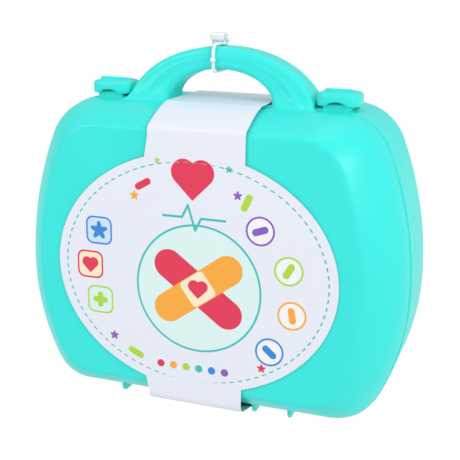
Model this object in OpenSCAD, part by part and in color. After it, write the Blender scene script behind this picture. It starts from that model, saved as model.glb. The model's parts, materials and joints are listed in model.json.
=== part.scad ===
// Toy doctor case: two moulded half shells hinged along the bottom, two top latches,
// a handle half on each shell, a card sleeve, and the tools and trays kept inside.
// X runs across the case, -Y is the front, +Z is up, and the case stands on Z = 0.

/* [Case] */
// Half of the width at the widest point
case_half_w = 134; // [120:1:145]
// Height of the case body above the ground, without the handle
case_h = 206.5; // [195:0.5:215]
// Gap between the ground and the underside of the body
body_lift = 1.5; // [1:0.1:3]
// Height of the widest point above the ground
widest_z = 91; // [80:1:100]
// Distance from the front face to the parting plane
front_depth = 58; // [54:1:64]
// Distance from the parting plane to the rear face
rear_depth = 46; // [42:1:52]
// Wall thickness of both shells
wall = 2.2; // [1.8:0.1:2.6]

/* [Outline arcs] */
// Radius of the side above the widest point
side_upper_r = 243; // [230:1:260]
// Radius of the side below the widest point
side_lower_r = 164; // [155:1:180]
// Radius of the top corners
top_corner_r = 36; // [33:1:42]
// Radius of the bottom corners
bottom_corner_r = 27; // [22:1:30]

/* [Bevels] */
// How far the front face lies inside the outline at the sides
face_inset_side = 22; // [16:0.5:26]
// How far the front face lies inside the outline at the top
face_inset_top = 12; // [8:0.5:16]
// How far the front face lies inside the outline at the bottom
face_inset_bottom = 19; // [14:0.5:22]
// Depth over which the front bevel runs out
bevel_depth = 35.5; // [30:0.5:40]
// Share of the front insets that the rear face has
rear_inset_share = 0.78; // [0.6:0.02:0.9]
// Depth over which the rear rounding runs out
rear_round_depth = 14; // [10:0.5:18]
// Distance from the front face to the raised rim collar
collar_start = 41.5; // [38:0.5:45]
// Height of the rim collar above the front bevel
collar_step = 1; // [0.6:0.1:1.6]

/* [Handle] */
// Half width of the handle arch at its foot
handle_half_w = 67.5; // [60:0.5:72]
// Height of the handle arch above its centre
handle_rise = 47; // [44:0.5:52]
// Height of the centre of the arch above the ground
handle_centre_z = 195; // [190:0.5:198]
// Half width of the hand opening
opening_half_w = 37; // [35.5:0.5:42]
// Height of the hand opening above its centre
opening_rise = 23.5; // [21:0.5:26]
// Height of the centre of the hand opening above the ground
opening_centre_z = 204; // [200:0.5:206]
// Thickness of one handle half, from the parting plane
handle_half_depth = 12; // [9:0.5:14]
// Rounding of the handle edges
handle_round = 4; // [2:0.5:5]
// How far each foot of the handle spreads forward, into the rim collar
foot_spread = 4.6; // [2:0.2:6]
// How far each foot of the handle spreads sideways
foot_flare = 2; // [0:0.2:3]

/* [Latches] */
// How far the middle of each latch lies beyond the end of the straight top
latch_out = -3.1; // [-5:0.1:2]
// Width of a latch
latch_w = 28; // [26:0.5:32]
// Length of a latch, front to rear
latch_l = 27; // [26:0.5:32]
// Distance of the latch lip in front of the parting plane
latch_reach = 16.5; // [15:0.5:17.5]
// Height of the latch top above the case top
latch_rise = 10.5; // [9.5:0.5:12]
// Thickness of the latch plate and its lip
latch_wall = 2.6; // [2:0.1:3]
// Diameter of a latch pin
latch_pin_d = 2.5; // [2:0.1:3]
// Width of the catch on the front shell
catch_w = 18; // [14:1:20]

/* [Hinge] */
// Distance of each hinge from the middle of the case
hinge_x = 65; // [50:1:72]
// Width of the front shell's knuckle
front_knuckle_w = 13; // [10:1:16]
// Width of each of the rear shell's knuckles
rear_knuckle_w = 8; // [6:1:10]
// Outer diameter of the knuckles
knuckle_d = 8; // [7:0.5:9]
// Diameter of the hinge pins
hinge_pin_d = 3; // [2.5:0.1:3.4]
// Gap between the ground and the knuckles
knuckle_lift = 0.5; // [0.4:0.1:1]

/* [Feet] */
// Distances of the fin feet from the middle of the case
foot_x = [36, 61];
// Thickness of a fin foot
foot_w = 2; // [1.5:0.1:3]

/* [Card sleeve] */
// Half width of the strap of the card sleeve
strap_half_w = 33; // [28:0.5:35]
// Half width of the oval on the front of the sleeve
oval_half_w = 96; // [88:1:102]
// Half height of the oval on the front of the sleeve
oval_half_h = 79.5; // [72:0.5:82]
// Height of the centre of the oval above the ground
oval_z = 101; // [98:0.5:106]
// Thickness of the card
card_t = 0.4; // [0.3:0.05:0.6]

/* [Tie] */
// Distance of the tie from the middle of the handle, to the left
tie_x = -4; // [-15:0.5:15]
// Diameter of the tie's strand
tie_d = 2.2; // [1.6:0.1:2.6]
// Diameter of the bead on the tie's strand
bead_d = 3.6; // [2.8:0.1:4.4]
// Length, depth and height of the tie's head block
tie_head_size = [10, 9, 8.2];

/* [Worktop tray] */
// Distance of the worktop below the parting plane
worktop_drop = 12; // [10:0.5:16]
// Thickness of the tray's sheet
tray_t = 1.6; // [1.2:0.1:2]
// Diameter of the round basin
basin_d = 58; // [50:1:62]
// Depth of the round basin
basin_depth = 22; // [16:0.5:23]
// Depth of the tool places
place_depth = 13; // [11:0.5:14]

/* [Tools] */
// Length of the syringe barrel
syringe_l = 74; // [60:1:78]
// Outer diameter of the syringe barrel
syringe_d = 16; // [14:0.5:17]
// How far the plunger pulls out
plunger_travel = 24; // [18:1:26]
// Length of the dental mirror
mirror_l = 108; // [90:1:112]
// Diameter of the dental mirror's head
mirror_head_d = 16.6; // [14:0.2:18]
// Length of the reflex hammer
hammer_l = 108; // [90:1:112]
// Width of the reflex hammer's head
hammer_head_w = 24; // [20:1:26]
// Length of the tongs
tongs_l = 112; // [90:1:114]
// Width of the tongs at the bend
tongs_w = 14; // [11:0.5:16]
// Length of the thermometer
thermometer_l = 66; // [50:1:68]
// Length of the scissors and of the forceps
cutter_l = 104; // [90:1:108]
// Diameter of the bottle
bottle_d = 27; // [22:0.5:28]
// Height of the bottle without its cap
bottle_h = 56; // [40:1:60]

/* [Hidden] */

front_y = -(front_depth + rear_depth) / 2;
seam_y = front_y + front_depth;
rear_y = seam_y + rear_depth;
body_h = case_h - body_lift;
seam_gap = 0.1;
fit = 0.2;
bevel_power = 1.7;
round_fn = 48;

teal = [0.25, 0.88, 0.85];
white = [0.95, 0.96, 0.97];
red = [0.86, 0.16, 0.2];
yellow = [0.98, 0.83, 0.1];
blue = [0.12, 0.4, 0.8];
clear = [0.85, 0.92, 0.95, 0.6];
steel = [0.75, 0.76, 0.78];

// ---- outline of the case, as tangent arcs ----
function arc(cx, cz, r, a0, a1, n) = [for (i = [0 : n - 1]) let (a = a0 + (a1 - a0) * i / n)
    [cx + r * cos(a), cz + r * sin(a)]];
function corner_x(side_r, corner_r, dz) = case_half_w - side_r + sqrt(pow(side_r - corner_r, 2) - dz * dz);

top_z = case_h - top_corner_r;
top_x = corner_x(side_upper_r, top_corner_r, top_z - widest_z);
low_z = body_lift + bottom_corner_r;
low_x = corner_x(side_lower_r, bottom_corner_r, widest_z - low_z);
top_a = atan2(top_z - widest_z, top_x - case_half_w + side_upper_r);
low_a = atan2(low_z - widest_z, low_x - case_half_w + side_lower_r);
latch_x = top_x + latch_out;
right_half = concat(
    arc(low_x, low_z, bottom_corner_r, -90, low_a, 6),
    arc(case_half_w - side_lower_r, widest_z, side_lower_r, low_a, 0, 6),
    arc(case_half_w - side_upper_r, widest_z, side_upper_r, 0, top_a, 7),
    arc(top_x, top_z, top_corner_r, top_a, 90, 8),
    [[top_x, case_h]]);
outline = concat(right_half, [for (i = [len(right_half) - 1 : -1 : 0]) [-right_half[i].x, right_half[i].y]]);

// The outline moved inward: "share" of the face insets, and "inset" more all round
function ring_2d(share, inset) = let (
        side = face_inset_side * share + inset,
        top = face_inset_top * share + inset,
        bottom = face_inset_bottom * share + inset)
    [for (p = outline) [p.x * (case_half_w - side) / case_half_w,
        body_lift + bottom + (p.y - body_lift) * (body_h - top - bottom) / body_h]];
function ring(y, share, inset) = [for (p = ring_2d(share, inset)) [p.x, y, p.y]];
function front_share(t) = pow(max(0, 1 - t / bevel_depth), bevel_power);
function rear_share(t) = rear_inset_share * pow(max(0, 1 - t / rear_round_depth), bevel_power);

// A closed skin through rings of equal length, from the first ring's cap to the last ring's cap
module loft(rings) {
    n = len(rings[0]);
    m = len(rings);
    points = [for (r = rings) for (p = r) p];
    sides = [for (i = [0 : m - 2]) for (j = [0 : n - 1]) let (k = (j + 1) % n)
        each [[i * n + j, i * n + k, (i + 1) * n + k], [i * n + j, (i + 1) * n + k, (i + 1) * n + j]]];
    polyhedron(points, concat([[for (j = [n - 1 : -1 : 0]) j]], sides, [[for (j = [0 : n - 1]) (m - 1) * n + j]]));
}

// ---- shells ----
module front_skin() {
    t_out = [0.8, 2.5, 5, 9, 14, 20, 27, bevel_depth, collar_start];
    t_in = [collar_start, 34, 27, 20, 14, 9, 5, wall];
    loft(concat(
        [ring(front_y, 1, collar_step + 0.8)],
        [for (t = t_out) ring(front_y + t, front_share(t), collar_step)],
        [ring(front_y + collar_start + 0.8, 0, 0), ring(seam_y - seam_gap, 0, 0)],
        [ring(seam_y - seam_gap, 0, collar_step + wall)],
        [for (t = t_in) ring(front_y + t, front_share(t), collar_step + wall)]));
}

module rear_skin() {
    t_out = [0.6, 2, 4, 7, 10, rear_round_depth];
    t_in = [rear_round_depth, 10, 7, 4, wall];
    mirror([0, 1, 0]) loft(concat(
        [ring(-rear_y, rear_inset_share, 0.6)],
        [for (t = t_out) ring(-rear_y + t, rear_share(t), 0)],
        [ring(-seam_y - seam_gap, 0, 0), ring(-seam_y - seam_gap, 0, collar_step + wall)],
        [for (t = t_in) ring(-rear_y + t, rear_share(t), collar_step + wall)]));
}

// One handle half in front of the plane Y = 0, swept round the arch between the two ellipses, from the
// height base_z of one foot over to the other; skin draws it inward all round, for the hollow inside.
// Each foot spreads forward and outward, and runs into the rim collar.
module handle_half(depth, base_z, skin = 0) {
    r = handle_round;
    band = handle_half_w - opening_half_w;
    deep = depth - skin;
    outer_a = asin((base_z - handle_centre_z) / (handle_rise - skin));
    inner_a = asin((base_z - opening_centre_z) / (opening_rise + skin));
    climb = [0, 0.035, 0.075, 0.12, 0.17, 0.23, 0.3, 0.4, 0.52, 0.66, 0.82];
    steps = concat(climb, [1], [for (i = [len(climb) - 1 : -1 : 0]) 2 - climb[i]]);
    e = skin / band / 2;
    section = [[1 - e, skin > 0 ? -1 : 0], [1 - e, deep - r], [1 - 0.3 * r / band, deep - 0.3 * r], [1 - r / band, deep],
        [0.56, deep], [r / band, deep], [0.3 * r / band, deep - 0.3 * r], [e, deep - r], [e, skin > 0 ? -1 : 0]];
    function outer(a) = [(handle_half_w - skin) * cos(a), handle_centre_z + (handle_rise - skin) * sin(a)];
    function inner(a) = [(opening_half_w + skin) * cos(a), opening_centre_z + (opening_rise + skin) * sin(a)];
    function place(p, s, side) = let (
            above = max(p.y - case_h + 1, 0),
            spread = skin > 0 ? 0 : (foot_spread * exp(-above / 7) + 3.2 * exp(-above / 1.8)) * pow(s[1] / depth, 1.5),
            sideways = skin > 0 ? 0 : (s[0] * foot_flare - (1 - s[0]) * 1.2) * exp(-above / 3.6))
        [p.x + side * sideways, -s[1] - spread, p.y];
    loft([for (u = steps) let (o = outer(outer_a + (90 - outer_a) * u), q = inner(inner_a + (90 - inner_a) * u))
        [for (s = section) place(q + (o - q) * s[0], s, u < 1 ? 1 : u > 1 ? -1 : 0)]]);
}
handle_base_z = case_h - collar_step - wall + 0.4;
hollow_base_z = case_h - collar_step - wall - 2;

hinge_z = knuckle_lift + knuckle_d / 2;
hinge_gap = 0.4;
hinge_half_w = front_knuckle_w / 2 + hinge_gap + rear_knuckle_w;

module along_x(d, l) { rotate([0, 90, 0]) cylinder(d = d, h = l, center = true, $fn = round_fn); }
module along_y(d, l) { rotate([-90, 0, 0]) cylinder(d = d, h = l, $fn = round_fn); }

// Solid rail behind each hinge, from the parting plane into one shell, just short of the worktop
rail_l = worktop_drop - 0.5;
module hinge_rails(side) {
    l = rail_l;
    for (x = [-hinge_x, hinge_x])
        translate([x - hinge_half_w - 2, side < 0 ? seam_y - seam_gap - l : seam_y + seam_gap, body_lift])
            cube([2 * hinge_half_w + 4, l, hinge_z + knuckle_d / 2 + 2.5 - body_lift]);
}

// Low rail that closes the wall above the bottom groove
module groove_rail(side) {
    half = low_x + 8;
    base = body_lift + 2;
    translate([-half, side < 0 ? seam_y - seam_gap - rail_l : seam_y + seam_gap, base])
        cube([2 * half, rail_l, hinge_z + 1 + wall - base]);
}

// The V-shaped groove along the bottom that lets the shells turn past each other
module bottom_groove() {
    top = hinge_z + 0.8;
    translate([-case_half_w, 0, 0]) rotate([90, 0, 90]) linear_extrude(2 * case_half_w)
        polygon([[seam_y - 10, -1], [seam_y - 10, body_lift], [seam_y - 5, top], [seam_y + 5, top],
            [seam_y + 10, body_lift], [seam_y + 10, -1]]);
}

module at_hinges() { for (x = [-hinge_x, hinge_x]) translate([x, seam_y, hinge_z]) children(); }
module rear_knuckle_places() {
    for (s = [-1, 1]) translate([s * (front_knuckle_w / 2 + hinge_gap + rear_knuckle_w / 2), 0, 0]) children();
}

// Fin feet under the sloping bottom edge: their tops sink into the shell's wall
module fins(outline_yz) {
    for (x = foot_x) for (s = [-1, 1])
        translate([s * x - foot_w / 2, 0, 0]) rotate([90, 0, 90]) linear_extrude(foot_w) polygon(outline_yz);
}
front_fin = concat([[front_y + 34, 0], [front_y + 11, 0], [front_y + 8.5, 5]],
    [for (t = [8 : 4.333 : 34]) [front_y + t, body_lift + collar_step + 1.2 + face_inset_bottom * front_share(t)]]);
rear_fin = concat([[rear_y - 20, 0], [rear_y - 5.5, 0], [rear_y - 4, 3]],
    [for (t = [4 : 4 : 20]) [rear_y - t, body_lift + 1.2 + face_inset_bottom * rear_share(t)]]);

pivot_y = seam_y - latch_reach + latch_l - 3.5;
pivot_z = case_h + 3.5;
catch_front_y = seam_y - latch_reach + latch_wall + 0.8;

// Ramped catch that the latch lip stands in front of
module catches() {
    for (x = [-latch_x, latch_x]) translate([x - catch_w / 2, 0, 0]) rotate([90, 0, 90]) linear_extrude(catch_w)
        polygon([[catch_front_y, case_h - 4], [catch_front_y, case_h + 2.6], [catch_front_y + 1, case_h + 3.6],
            [catch_front_y + 3, case_h + 3.6], [seam_y - seam_gap - 1, case_h + 0.6], [seam_y - seam_gap - 1, case_h - 4]]);
}

ear_gap = 17;
ear_w = 2.8;
module latch_ears() {
    for (x = [-latch_x, latch_x]) for (s = [-1, 1])
        translate([x + s * (ear_gap + ear_w) / 2 - ear_w / 2, 0, 0]) rotate([90, 0, 90]) linear_extrude(ear_w) union() {
            translate([pivot_y, pivot_z]) circle(d = 6, $fn = round_fn);
            translate([pivot_y - 3, case_h - 4]) square([6, pivot_z - case_h + 4]);
        }
}

post_y = seam_y - worktop_drop - tray_t - fit;
module worktop_posts() {
    for (x = [-1, 1]) for (p = [[70, 22], [88, 172]])
        translate([x * p[0], front_y + 1, p[1]]) along_y(7, post_y - front_y - 1);
}

module finger_pockets() {
    for (x = [-latch_x, latch_x])
        translate([x - latch_w / 2 - 1, seam_y - latch_reach - 3.5, case_h - 1.6]) cube([latch_w + 2, latch_wall + 4.2, 6]);
}

// Room for a latch beside the foot of the handle
module latch_relief() {
    for (x = [-latch_x, latch_x]) translate([x - latch_w / 2 - 0.6, seam_y - latch_reach - 1, case_h - 1])
        cube([latch_w + 1.2, latch_l + 2, 20]);
}

module front_shell() {
    color(teal) difference() {
        union() {
            difference() {
                union() {
                    front_skin();
                    difference() {
                        translate([0, seam_y - seam_gap, 0]) handle_half(handle_half_depth - seam_gap, handle_base_z);
                        latch_relief();
                    }
                    hinge_rails(-1);
                    groove_rail(-1);
                    worktop_posts();
                    fins(front_fin);
                }
                bottom_groove();
                translate([0, seam_y - seam_gap, 0]) handle_half(handle_half_depth - seam_gap, hollow_base_z, wall);
                finger_pockets();
                at_hinges() rear_knuckle_places() along_x(knuckle_d + 2 * hinge_gap, rear_knuckle_w + 2 * hinge_gap);
            }
            catches();
            at_hinges() along_x(knuckle_d, front_knuckle_w);
        }
        at_hinges() along_x(hinge_pin_d + fit, front_knuckle_w + 2 * hinge_gap);
    }
}

module rear_shell() {
    color(teal) difference() {
        union() {
            difference() {
                union() {
                    rear_skin();
                    difference() {
                        translate([0, seam_y + seam_gap, 0]) mirror([0, 1, 0]) handle_half(handle_half_depth - seam_gap, handle_base_z);
                        latch_relief();
                    }
                    hinge_rails(1);
                    groove_rail(1);
                    fins(rear_fin);
                }
                bottom_groove();
                translate([0, seam_y + seam_gap, 0]) mirror([0, 1, 0])
                    handle_half(handle_half_depth - seam_gap, hollow_base_z, wall);
                at_hinges() along_x(knuckle_d + 2 * hinge_gap, front_knuckle_w + 2 * hinge_gap);
            }
            latch_ears();
            at_hinges() rear_knuckle_places() along_x(knuckle_d, rear_knuckle_w);
        }
        at_hinges() along_x(hinge_pin_d + fit, 2 * hinge_half_w);
        for (x = [-latch_x, latch_x]) translate([x, pivot_y, pivot_z]) along_x(latch_pin_d + fit, ear_gap + 4 * ear_w);
    }
}

module hinge_pin(s) {
    color(steel) translate([s * hinge_x, seam_y, hinge_z]) along_x(hinge_pin_d, 2 * hinge_half_w);
}

// ---- latches ----
module latch(s) {
    l = latch_l;
    y0 = seam_y - latch_reach;
    top = case_h + latch_rise;
    plate_z = top - latch_wall;
    crown = 1.2;
    // side profile: crowned plate with the lip at its front
    profile = concat([[y0, case_h - 0.8], [y0, top - 4]],
        [for (i = [1 : 5]) let (a = 180 - 18 * i) [y0 + 4 + 4 * cos(a), top - 4 + 4 * sin(a)]],
        [for (i = [1 : 5]) [y0 + 4 + (l - 8) * i / 6, top + crown * sin(30 * i)]],
        [for (i = [0 : 4]) let (a = 90 - 22.5 * i) [y0 + l - 3.5 + 3.5 * cos(a), top - 3.5 + 3.5 * sin(a)]],
        [[y0 + l, plate_z - 1], [y0 + latch_wall + 1, plate_z - 1], [y0 + latch_wall, plate_z - 2],
            [y0 + latch_wall, case_h - 0.8]]);
    translate([s * latch_x, 0, 0]) difference() {
        union() {
            intersection() {
                union() {
                    translate([-latch_w / 2, 0, 0]) rotate([90, 0, 90]) linear_extrude(latch_w) polygon(profile);
                    for (k = [-1, 1]) translate([k * (latch_w - 2) / 2 - 1, y0 + 1, case_h + 1.6])
                        cube([2, l - 9, plate_z - case_h - 2]);
                }
                translate([0, 0, case_h - 5]) linear_extrude(30) union() {
                    translate([-latch_w / 2 + 6, y0]) square([latch_w - 12, l]);
                    translate([-latch_w / 2, y0 + 6]) square([latch_w, l - 9]);
                    for (k = [-1, 1]) {
                        translate([k * (latch_w / 2 - 6), y0 + 6]) circle(r = 6, $fn = round_fn);
                        translate([k * (latch_w / 2 - 3), y0 + l - 3]) circle(r = 3, $fn = round_fn);
                    }
                    translate([-latch_w / 2 + 3, y0 + l - 4]) square([latch_w - 6, 4]);
                }
            }
            // finger bar across the top
            translate([-9, y0 + 7, top]) cube([18, 2.4, 1.8]);
            // barrel round the pin, hung from the plate
            translate([0, pivot_y, pivot_z]) along_x(5.6, ear_gap - 0.8);
            translate([-(ear_gap - 0.8) / 2, pivot_y - 2, pivot_z]) cube([ear_gap - 0.8, 4, plate_z - pivot_z]);
        }
        // finger cut in the lower edge of the lip
        translate([0, y0 - 1, case_h - 7]) along_y(18, latch_wall + 2);
        translate([0, pivot_y, pivot_z]) along_x(latch_pin_d + fit, latch_w + 2);
    }
}

module latch_pin(s) {
    color(steel) translate([s * latch_x, pivot_y, pivot_z]) along_x(latch_pin_d, ear_gap + 2 * ear_w);
}

// ---- card sleeve, split at the parting plane ----
// Outer side of the card as [y, z], from the top at the parting plane to the bottom
card_gap = 0.5;
card_out = card_gap + card_t;
fold_lift = 1.8;
card_end = 4.6;
function top_under(share, step) = case_h - step - face_inset_top * share;
function bottom_over(share, step) = body_lift + step + face_inset_bottom * share;
front_card = concat([[seam_y - 0.2, case_h + card_out + 0.6], [front_y + collar_start - 3, case_h + card_out]],
    [for (t = [30, 20, 12, 6, 2.5]) [front_y + t, top_under(front_share(t), collar_step) + card_out + fold_lift]],
    [[front_y - card_out + 0.2, top_under(1, collar_step) + 1.6], [front_y - card_out, top_under(1, collar_step) - 4],
        [front_y - card_out, 14], [front_y - card_out + 1.3, 11], [front_y + 4, 9]],
    [for (t = [22, 27, 32, 37]) [front_y + t, bottom_over(front_share(t), collar_step) - card_out - 0.3]],
    [[front_y + collar_start - 1, body_lift - card_out], [seam_y - 0.2, body_lift - card_out]]);
rear_card = concat([[seam_y + 0.2, case_h + card_out + 0.6]],
    [for (t = [20, 14, 8, 4, 1.5]) [rear_y - t, top_under(rear_share(t), 0) + card_out + 0.6]],
    [[rear_y + card_out - 0.2, top_under(rear_inset_share, 0) + 0.6], [rear_y + card_out, top_under(rear_inset_share, 0) - 5],
        [rear_y + card_out, 18]],
    [for (t = [0, 1.5, 4, 8, 12, 16]) [rear_y - t + card_gap / 2, bottom_over(rear_share(t), 0) - card_out - 0.1]],
    [[seam_y + card_end, body_lift - card_out]]);

// The path moved sideways by card_t, towards the case
function shifted(path, side) = [for (i = [0 : len(path) - 1])
    let (a = path[max(0, i - 1)], b = path[min(len(path) - 1, i + 1)], d = (b - a) / norm(b - a))
    path[i] + side * card_t * [d.y, -d.x]];

module card_strap(path, side) {
    translate([-strap_half_w, 0, 0]) rotate([90, 0, 90]) linear_extrude(2 * strap_half_w)
        polygon(concat(path, [for (i = [len(path) - 1 : -1 : 0]) shifted(path, side)[i]]));
}

module sleeve_front() {
    color(white) union() {
        card_strap(front_card, -1);
        translate([0, front_y - card_out, oval_z]) rotate([-90, 0, 0]) linear_extrude(card_t)
            polygon([for (i = [0 : 79]) [oval_half_w * cos(i * 4.5), oval_half_h * sin(i * 4.5)]]);
    }
}

module sleeve_rear() { color(white) card_strap(rear_card, 1); }

// ---- tie round both handle halves ----
handle_top = handle_centre_z + handle_rise;
opening_top = opening_centre_z + opening_rise;
tie_out = tie_d / 2 + 0.4;
// Half loop round one handle half as [y offset outward, z], from the top of the handle to the hand opening
tie_reach = handle_half_depth + tie_out;
function bend(cy, cz, r, a0, a1) = arc(cy, cz, r, a0, a1 + (a1 - a0) / 4, 5);
half_loop = concat(
    bend(tie_reach - 5, handle_top + tie_out - 5, 5, 90, 0),
    bend(tie_reach - 4, opening_top - tie_out + 4, 4, 0, -90));
// Eight-sided strand along a path in the plane X = tie_x; s is -1 in front of the parting plane and 1 behind it
module strand(path, s) {
    last = len(path) - 1;
    loft([for (i = [0 : last]) let (a = path[max(0, i - 1)], b = path[min(last, i + 1)], d = (b - a) / norm(b - a))
        [for (k = [0 : 7]) let (q = 22.5 + s * 45 * k, u = tie_d / 2 * cos(q), v = tie_d / 2 * sin(q))
            [tie_x + u, seam_y + s * (path[i].x - v * d.y), path[i].y + v * d.x]]]);
}
module tie_strand() {
    color(clear) union() {
        strand(concat([[0.2, handle_top + tie_out]], half_loop, [[0.2, opening_top - tie_out]]), -1);
        translate([tie_x, seam_y - tie_reach - (bead_d - tie_d) / 2, (handle_top + opening_top) / 2 - 1]) sphere(d = bead_d, $fn = 24);
    }
}
module tie_head() {
    color(clear) union() {
        strand(concat([[5, handle_top + tie_out]], half_loop, [[0.2, opening_top - tie_out]]), 1);
        translate([tie_x - tie_head_size.x / 2, seam_y + 0.2, handle_top + 0.3]) cube(tie_head_size);
        translate([tie_x + tie_head_size.x / 2 - 1, seam_y + 3, handle_top + 2.5]) cube([3.5, 3, 3]);
    }
}

// ---- worktop tray in the front shell ----
worktop_y = seam_y - worktop_drop;
inner_inset = collar_step + wall + 0.8;
// Tool places as [x centre, z centre, length along X, width along Z], from the syringe up to the tongs
place_margin = 4;
places = [[57, 44, syringe_l + plunger_travel + 14, syringe_d + 8], [52, 76, mirror_l + 2 * place_margin, mirror_head_d + 1.4],
    [42, 106, hammer_l + 4.5 * place_margin, hammer_head_w + 6], [14, 144, tongs_l + 3.5 * place_margin, tongs_w + 6]];
thermometer_place = [-100, 128];
basin_x = -58;
basin_z = 58;

module place_outlines(grow) {
    for (p = places) translate([p[0], p[1]]) rounded_rect(p[2] + 2 * grow, p[3] + 2 * grow, 5);
    translate(thermometer_place) rounded_rect(16 + 2 * grow, thermometer_l + 6 + 2 * grow, 5);
}
module rounded_rect(w, h, r) {
    square([w - 2 * r, h], center = true);
    square([w, h - 2 * r], center = true);
    for (x = [-1, 1]) for (y = [-1, 1]) translate([x * (w / 2 - r), y * (h / 2 - r)]) circle(r = r, $fn = round_fn);
}

module worktop_tray() {
    color(white) difference() {
        union() {
            translate([0, worktop_y, 0]) rotate([90, 0, 0]) linear_extrude(tray_t) polygon(ring_2d(0, inner_inset));
            translate([0, worktop_y, 0]) rotate([90, 0, 0]) linear_extrude(place_depth + tray_t) place_outlines(tray_t);
            translate([basin_x, worktop_y - basin_depth - tray_t, basin_z]) along_y(basin_d + 2 * tray_t, basin_depth + tray_t);
        }
        translate([0, worktop_y + 1, 0]) rotate([90, 0, 0]) linear_extrude(place_depth + 1) place_outlines(0);
        translate([basin_x, worktop_y - basin_depth, basin_z]) along_y(basin_d, basin_depth + 1);
    }
}

// ---- side trays stored flat under the worktop ----
side_tray_w = 84;
side_tray_h = 50;
side_tray_d = 13;
side_tray_z = 64;
module side_tray(s) {
    x = s * (side_tray_w / 2 + 3);
    y = front_y + wall + 0.3;
    color(red) difference() {
        union() {
            translate([x, y + side_tray_d, side_tray_z]) rotate([90, 0, 0]) linear_extrude(side_tray_d)
                rounded_rect(side_tray_w, side_tray_h, 9);
            // hook tabs that hang over the shell's rim when the tray is in use
            for (k = [-1, 1]) translate([x + k * 22 - 5, y + side_tray_d - 2, side_tray_z + side_tray_h / 2 - 2])
                cube([10, 2, 8]);
        }
        translate([x, y + side_tray_d + 1, side_tray_z]) rotate([90, 0, 0]) linear_extrude(side_tray_d - 1)
            rounded_rect(side_tray_w - 3.6, side_tray_h - 3.6, 7.2);
    }
}

// ---- fittings in the rear shell ----
lid_y = rear_y - wall - 0.1;
hook_x = 80;
hook_reach = 21;
hook_w = 5;
bar_z = 154;
bar_h = 10;
bar_t = 4;
module hook_bar() {
    tip = lid_y - hook_reach;
    color(red) union() {
        translate([-hook_x - 8, lid_y - bar_t, bar_z - bar_h / 2]) cube([2 * hook_x + 16, bar_t, bar_h]);
        for (x = [-hook_x, hook_x])
            translate([x - hook_w / 2, 0, bar_z]) rotate([90, 0, 90]) linear_extrude(hook_w)
                polygon([[lid_y - 1, -bar_h / 4], [tip + 1, -bar_h / 4], [tip, 0], [tip, 0.6 * bar_h], [tip + bar_h / 4, 0.6 * bar_h],
                    [tip + 0.3 * bar_h, bar_h / 4], [lid_y - 1, bar_h / 4]]);
    }
}

badge_r = 24;
badge_t = 3;
module badge() {
    color(white) translate([0, lid_y, bar_z + bar_h / 2 + 6]) rotate([90, 0, 0]) linear_extrude(badge_t) intersection() {
        circle(r = badge_r, $fn = 64);
        translate([-badge_r, 0]) square([2 * badge_r, badge_r]);
    }
    color(teal) translate([0, lid_y - badge_t, bar_z + bar_h / 2 + 16]) rotate([90, 0, 0]) linear_extrude(1) {
        square([13, 4.4], center = true);
        square([4.4, 13], center = true);
    }
}

shelf_w = 100;
shelf_z = 62;
shelf_d = 34;
shelf_h = 14;
shelf_t = 2;
module shelf() {
    color(red) difference() {
        translate([-shelf_w / 2, lid_y - shelf_d, shelf_z]) cube([shelf_w, shelf_d, shelf_h]);
        translate([-shelf_w / 2 + shelf_t, lid_y - shelf_d + shelf_t, shelf_z + shelf_t])
            cube([shelf_w - 2 * shelf_t, shelf_d - 2 * shelf_t, shelf_h]);
    }
}

label_w = 112;
label_h = 48;
label_z = 118;
module lid_label() {
    color(white) translate([0, lid_y, label_z]) rotate([90, 0, 0]) linear_extrude(0.4) rounded_rect(label_w, label_h, 4);
}

// ---- bottle on the shelf ----
bottle_x = 0;
bottle_y = lid_y - shelf_d / 2;
bottle_z = shelf_z + shelf_t + fit;
module bottle_body() {
    r = bottle_d / 2;
    color(white) translate([bottle_x, bottle_y, bottle_z]) rotate_extrude($fn = round_fn)
        polygon([[0, 0], [r - 1.5, 0], [r, 1.5], [r, bottle_h - 12], [r - 1.5, bottle_h - 8.5], [7.5, bottle_h - 5], [7.5, bottle_h],
            [5.9, bottle_h], [5.9, bottle_h - 5.6], [r - 3, bottle_h - 9.6], [r - 1.6, bottle_h - 12], [r - 1.6, 1.8], [0, 1.8]]);
}
module bottle_cap() {
    color(blue) translate([bottle_x, bottle_y, bottle_z + bottle_h + fit]) rotate_extrude($fn = round_fn)
        polygon([[0, 1], [4.6, 1], [4.6, -4.4], [5.2, -4.4], [5.6, -4], [5.6, 0], [10, 0], [10, 11], [8.6, 12.4], [0, 12.4]]);
}

// ---- scissors and forceps hung on the hooks ----
ring_d = 25;
ring_hole = 16;
cutter_y = lid_y - 11;
cutter_t = 2.6;
ring_x = ring_d / 2 + 0.5;
// a round ring on the flat peg touches at the peg's edges, so it hangs this much higher
ring_seat = 0.55;
ring_z = bar_z + bar_h / 4 + ring_seat - ring_hole / 2;
cutter_pivot_z = ring_z - cutter_l * 0.42;
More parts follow.
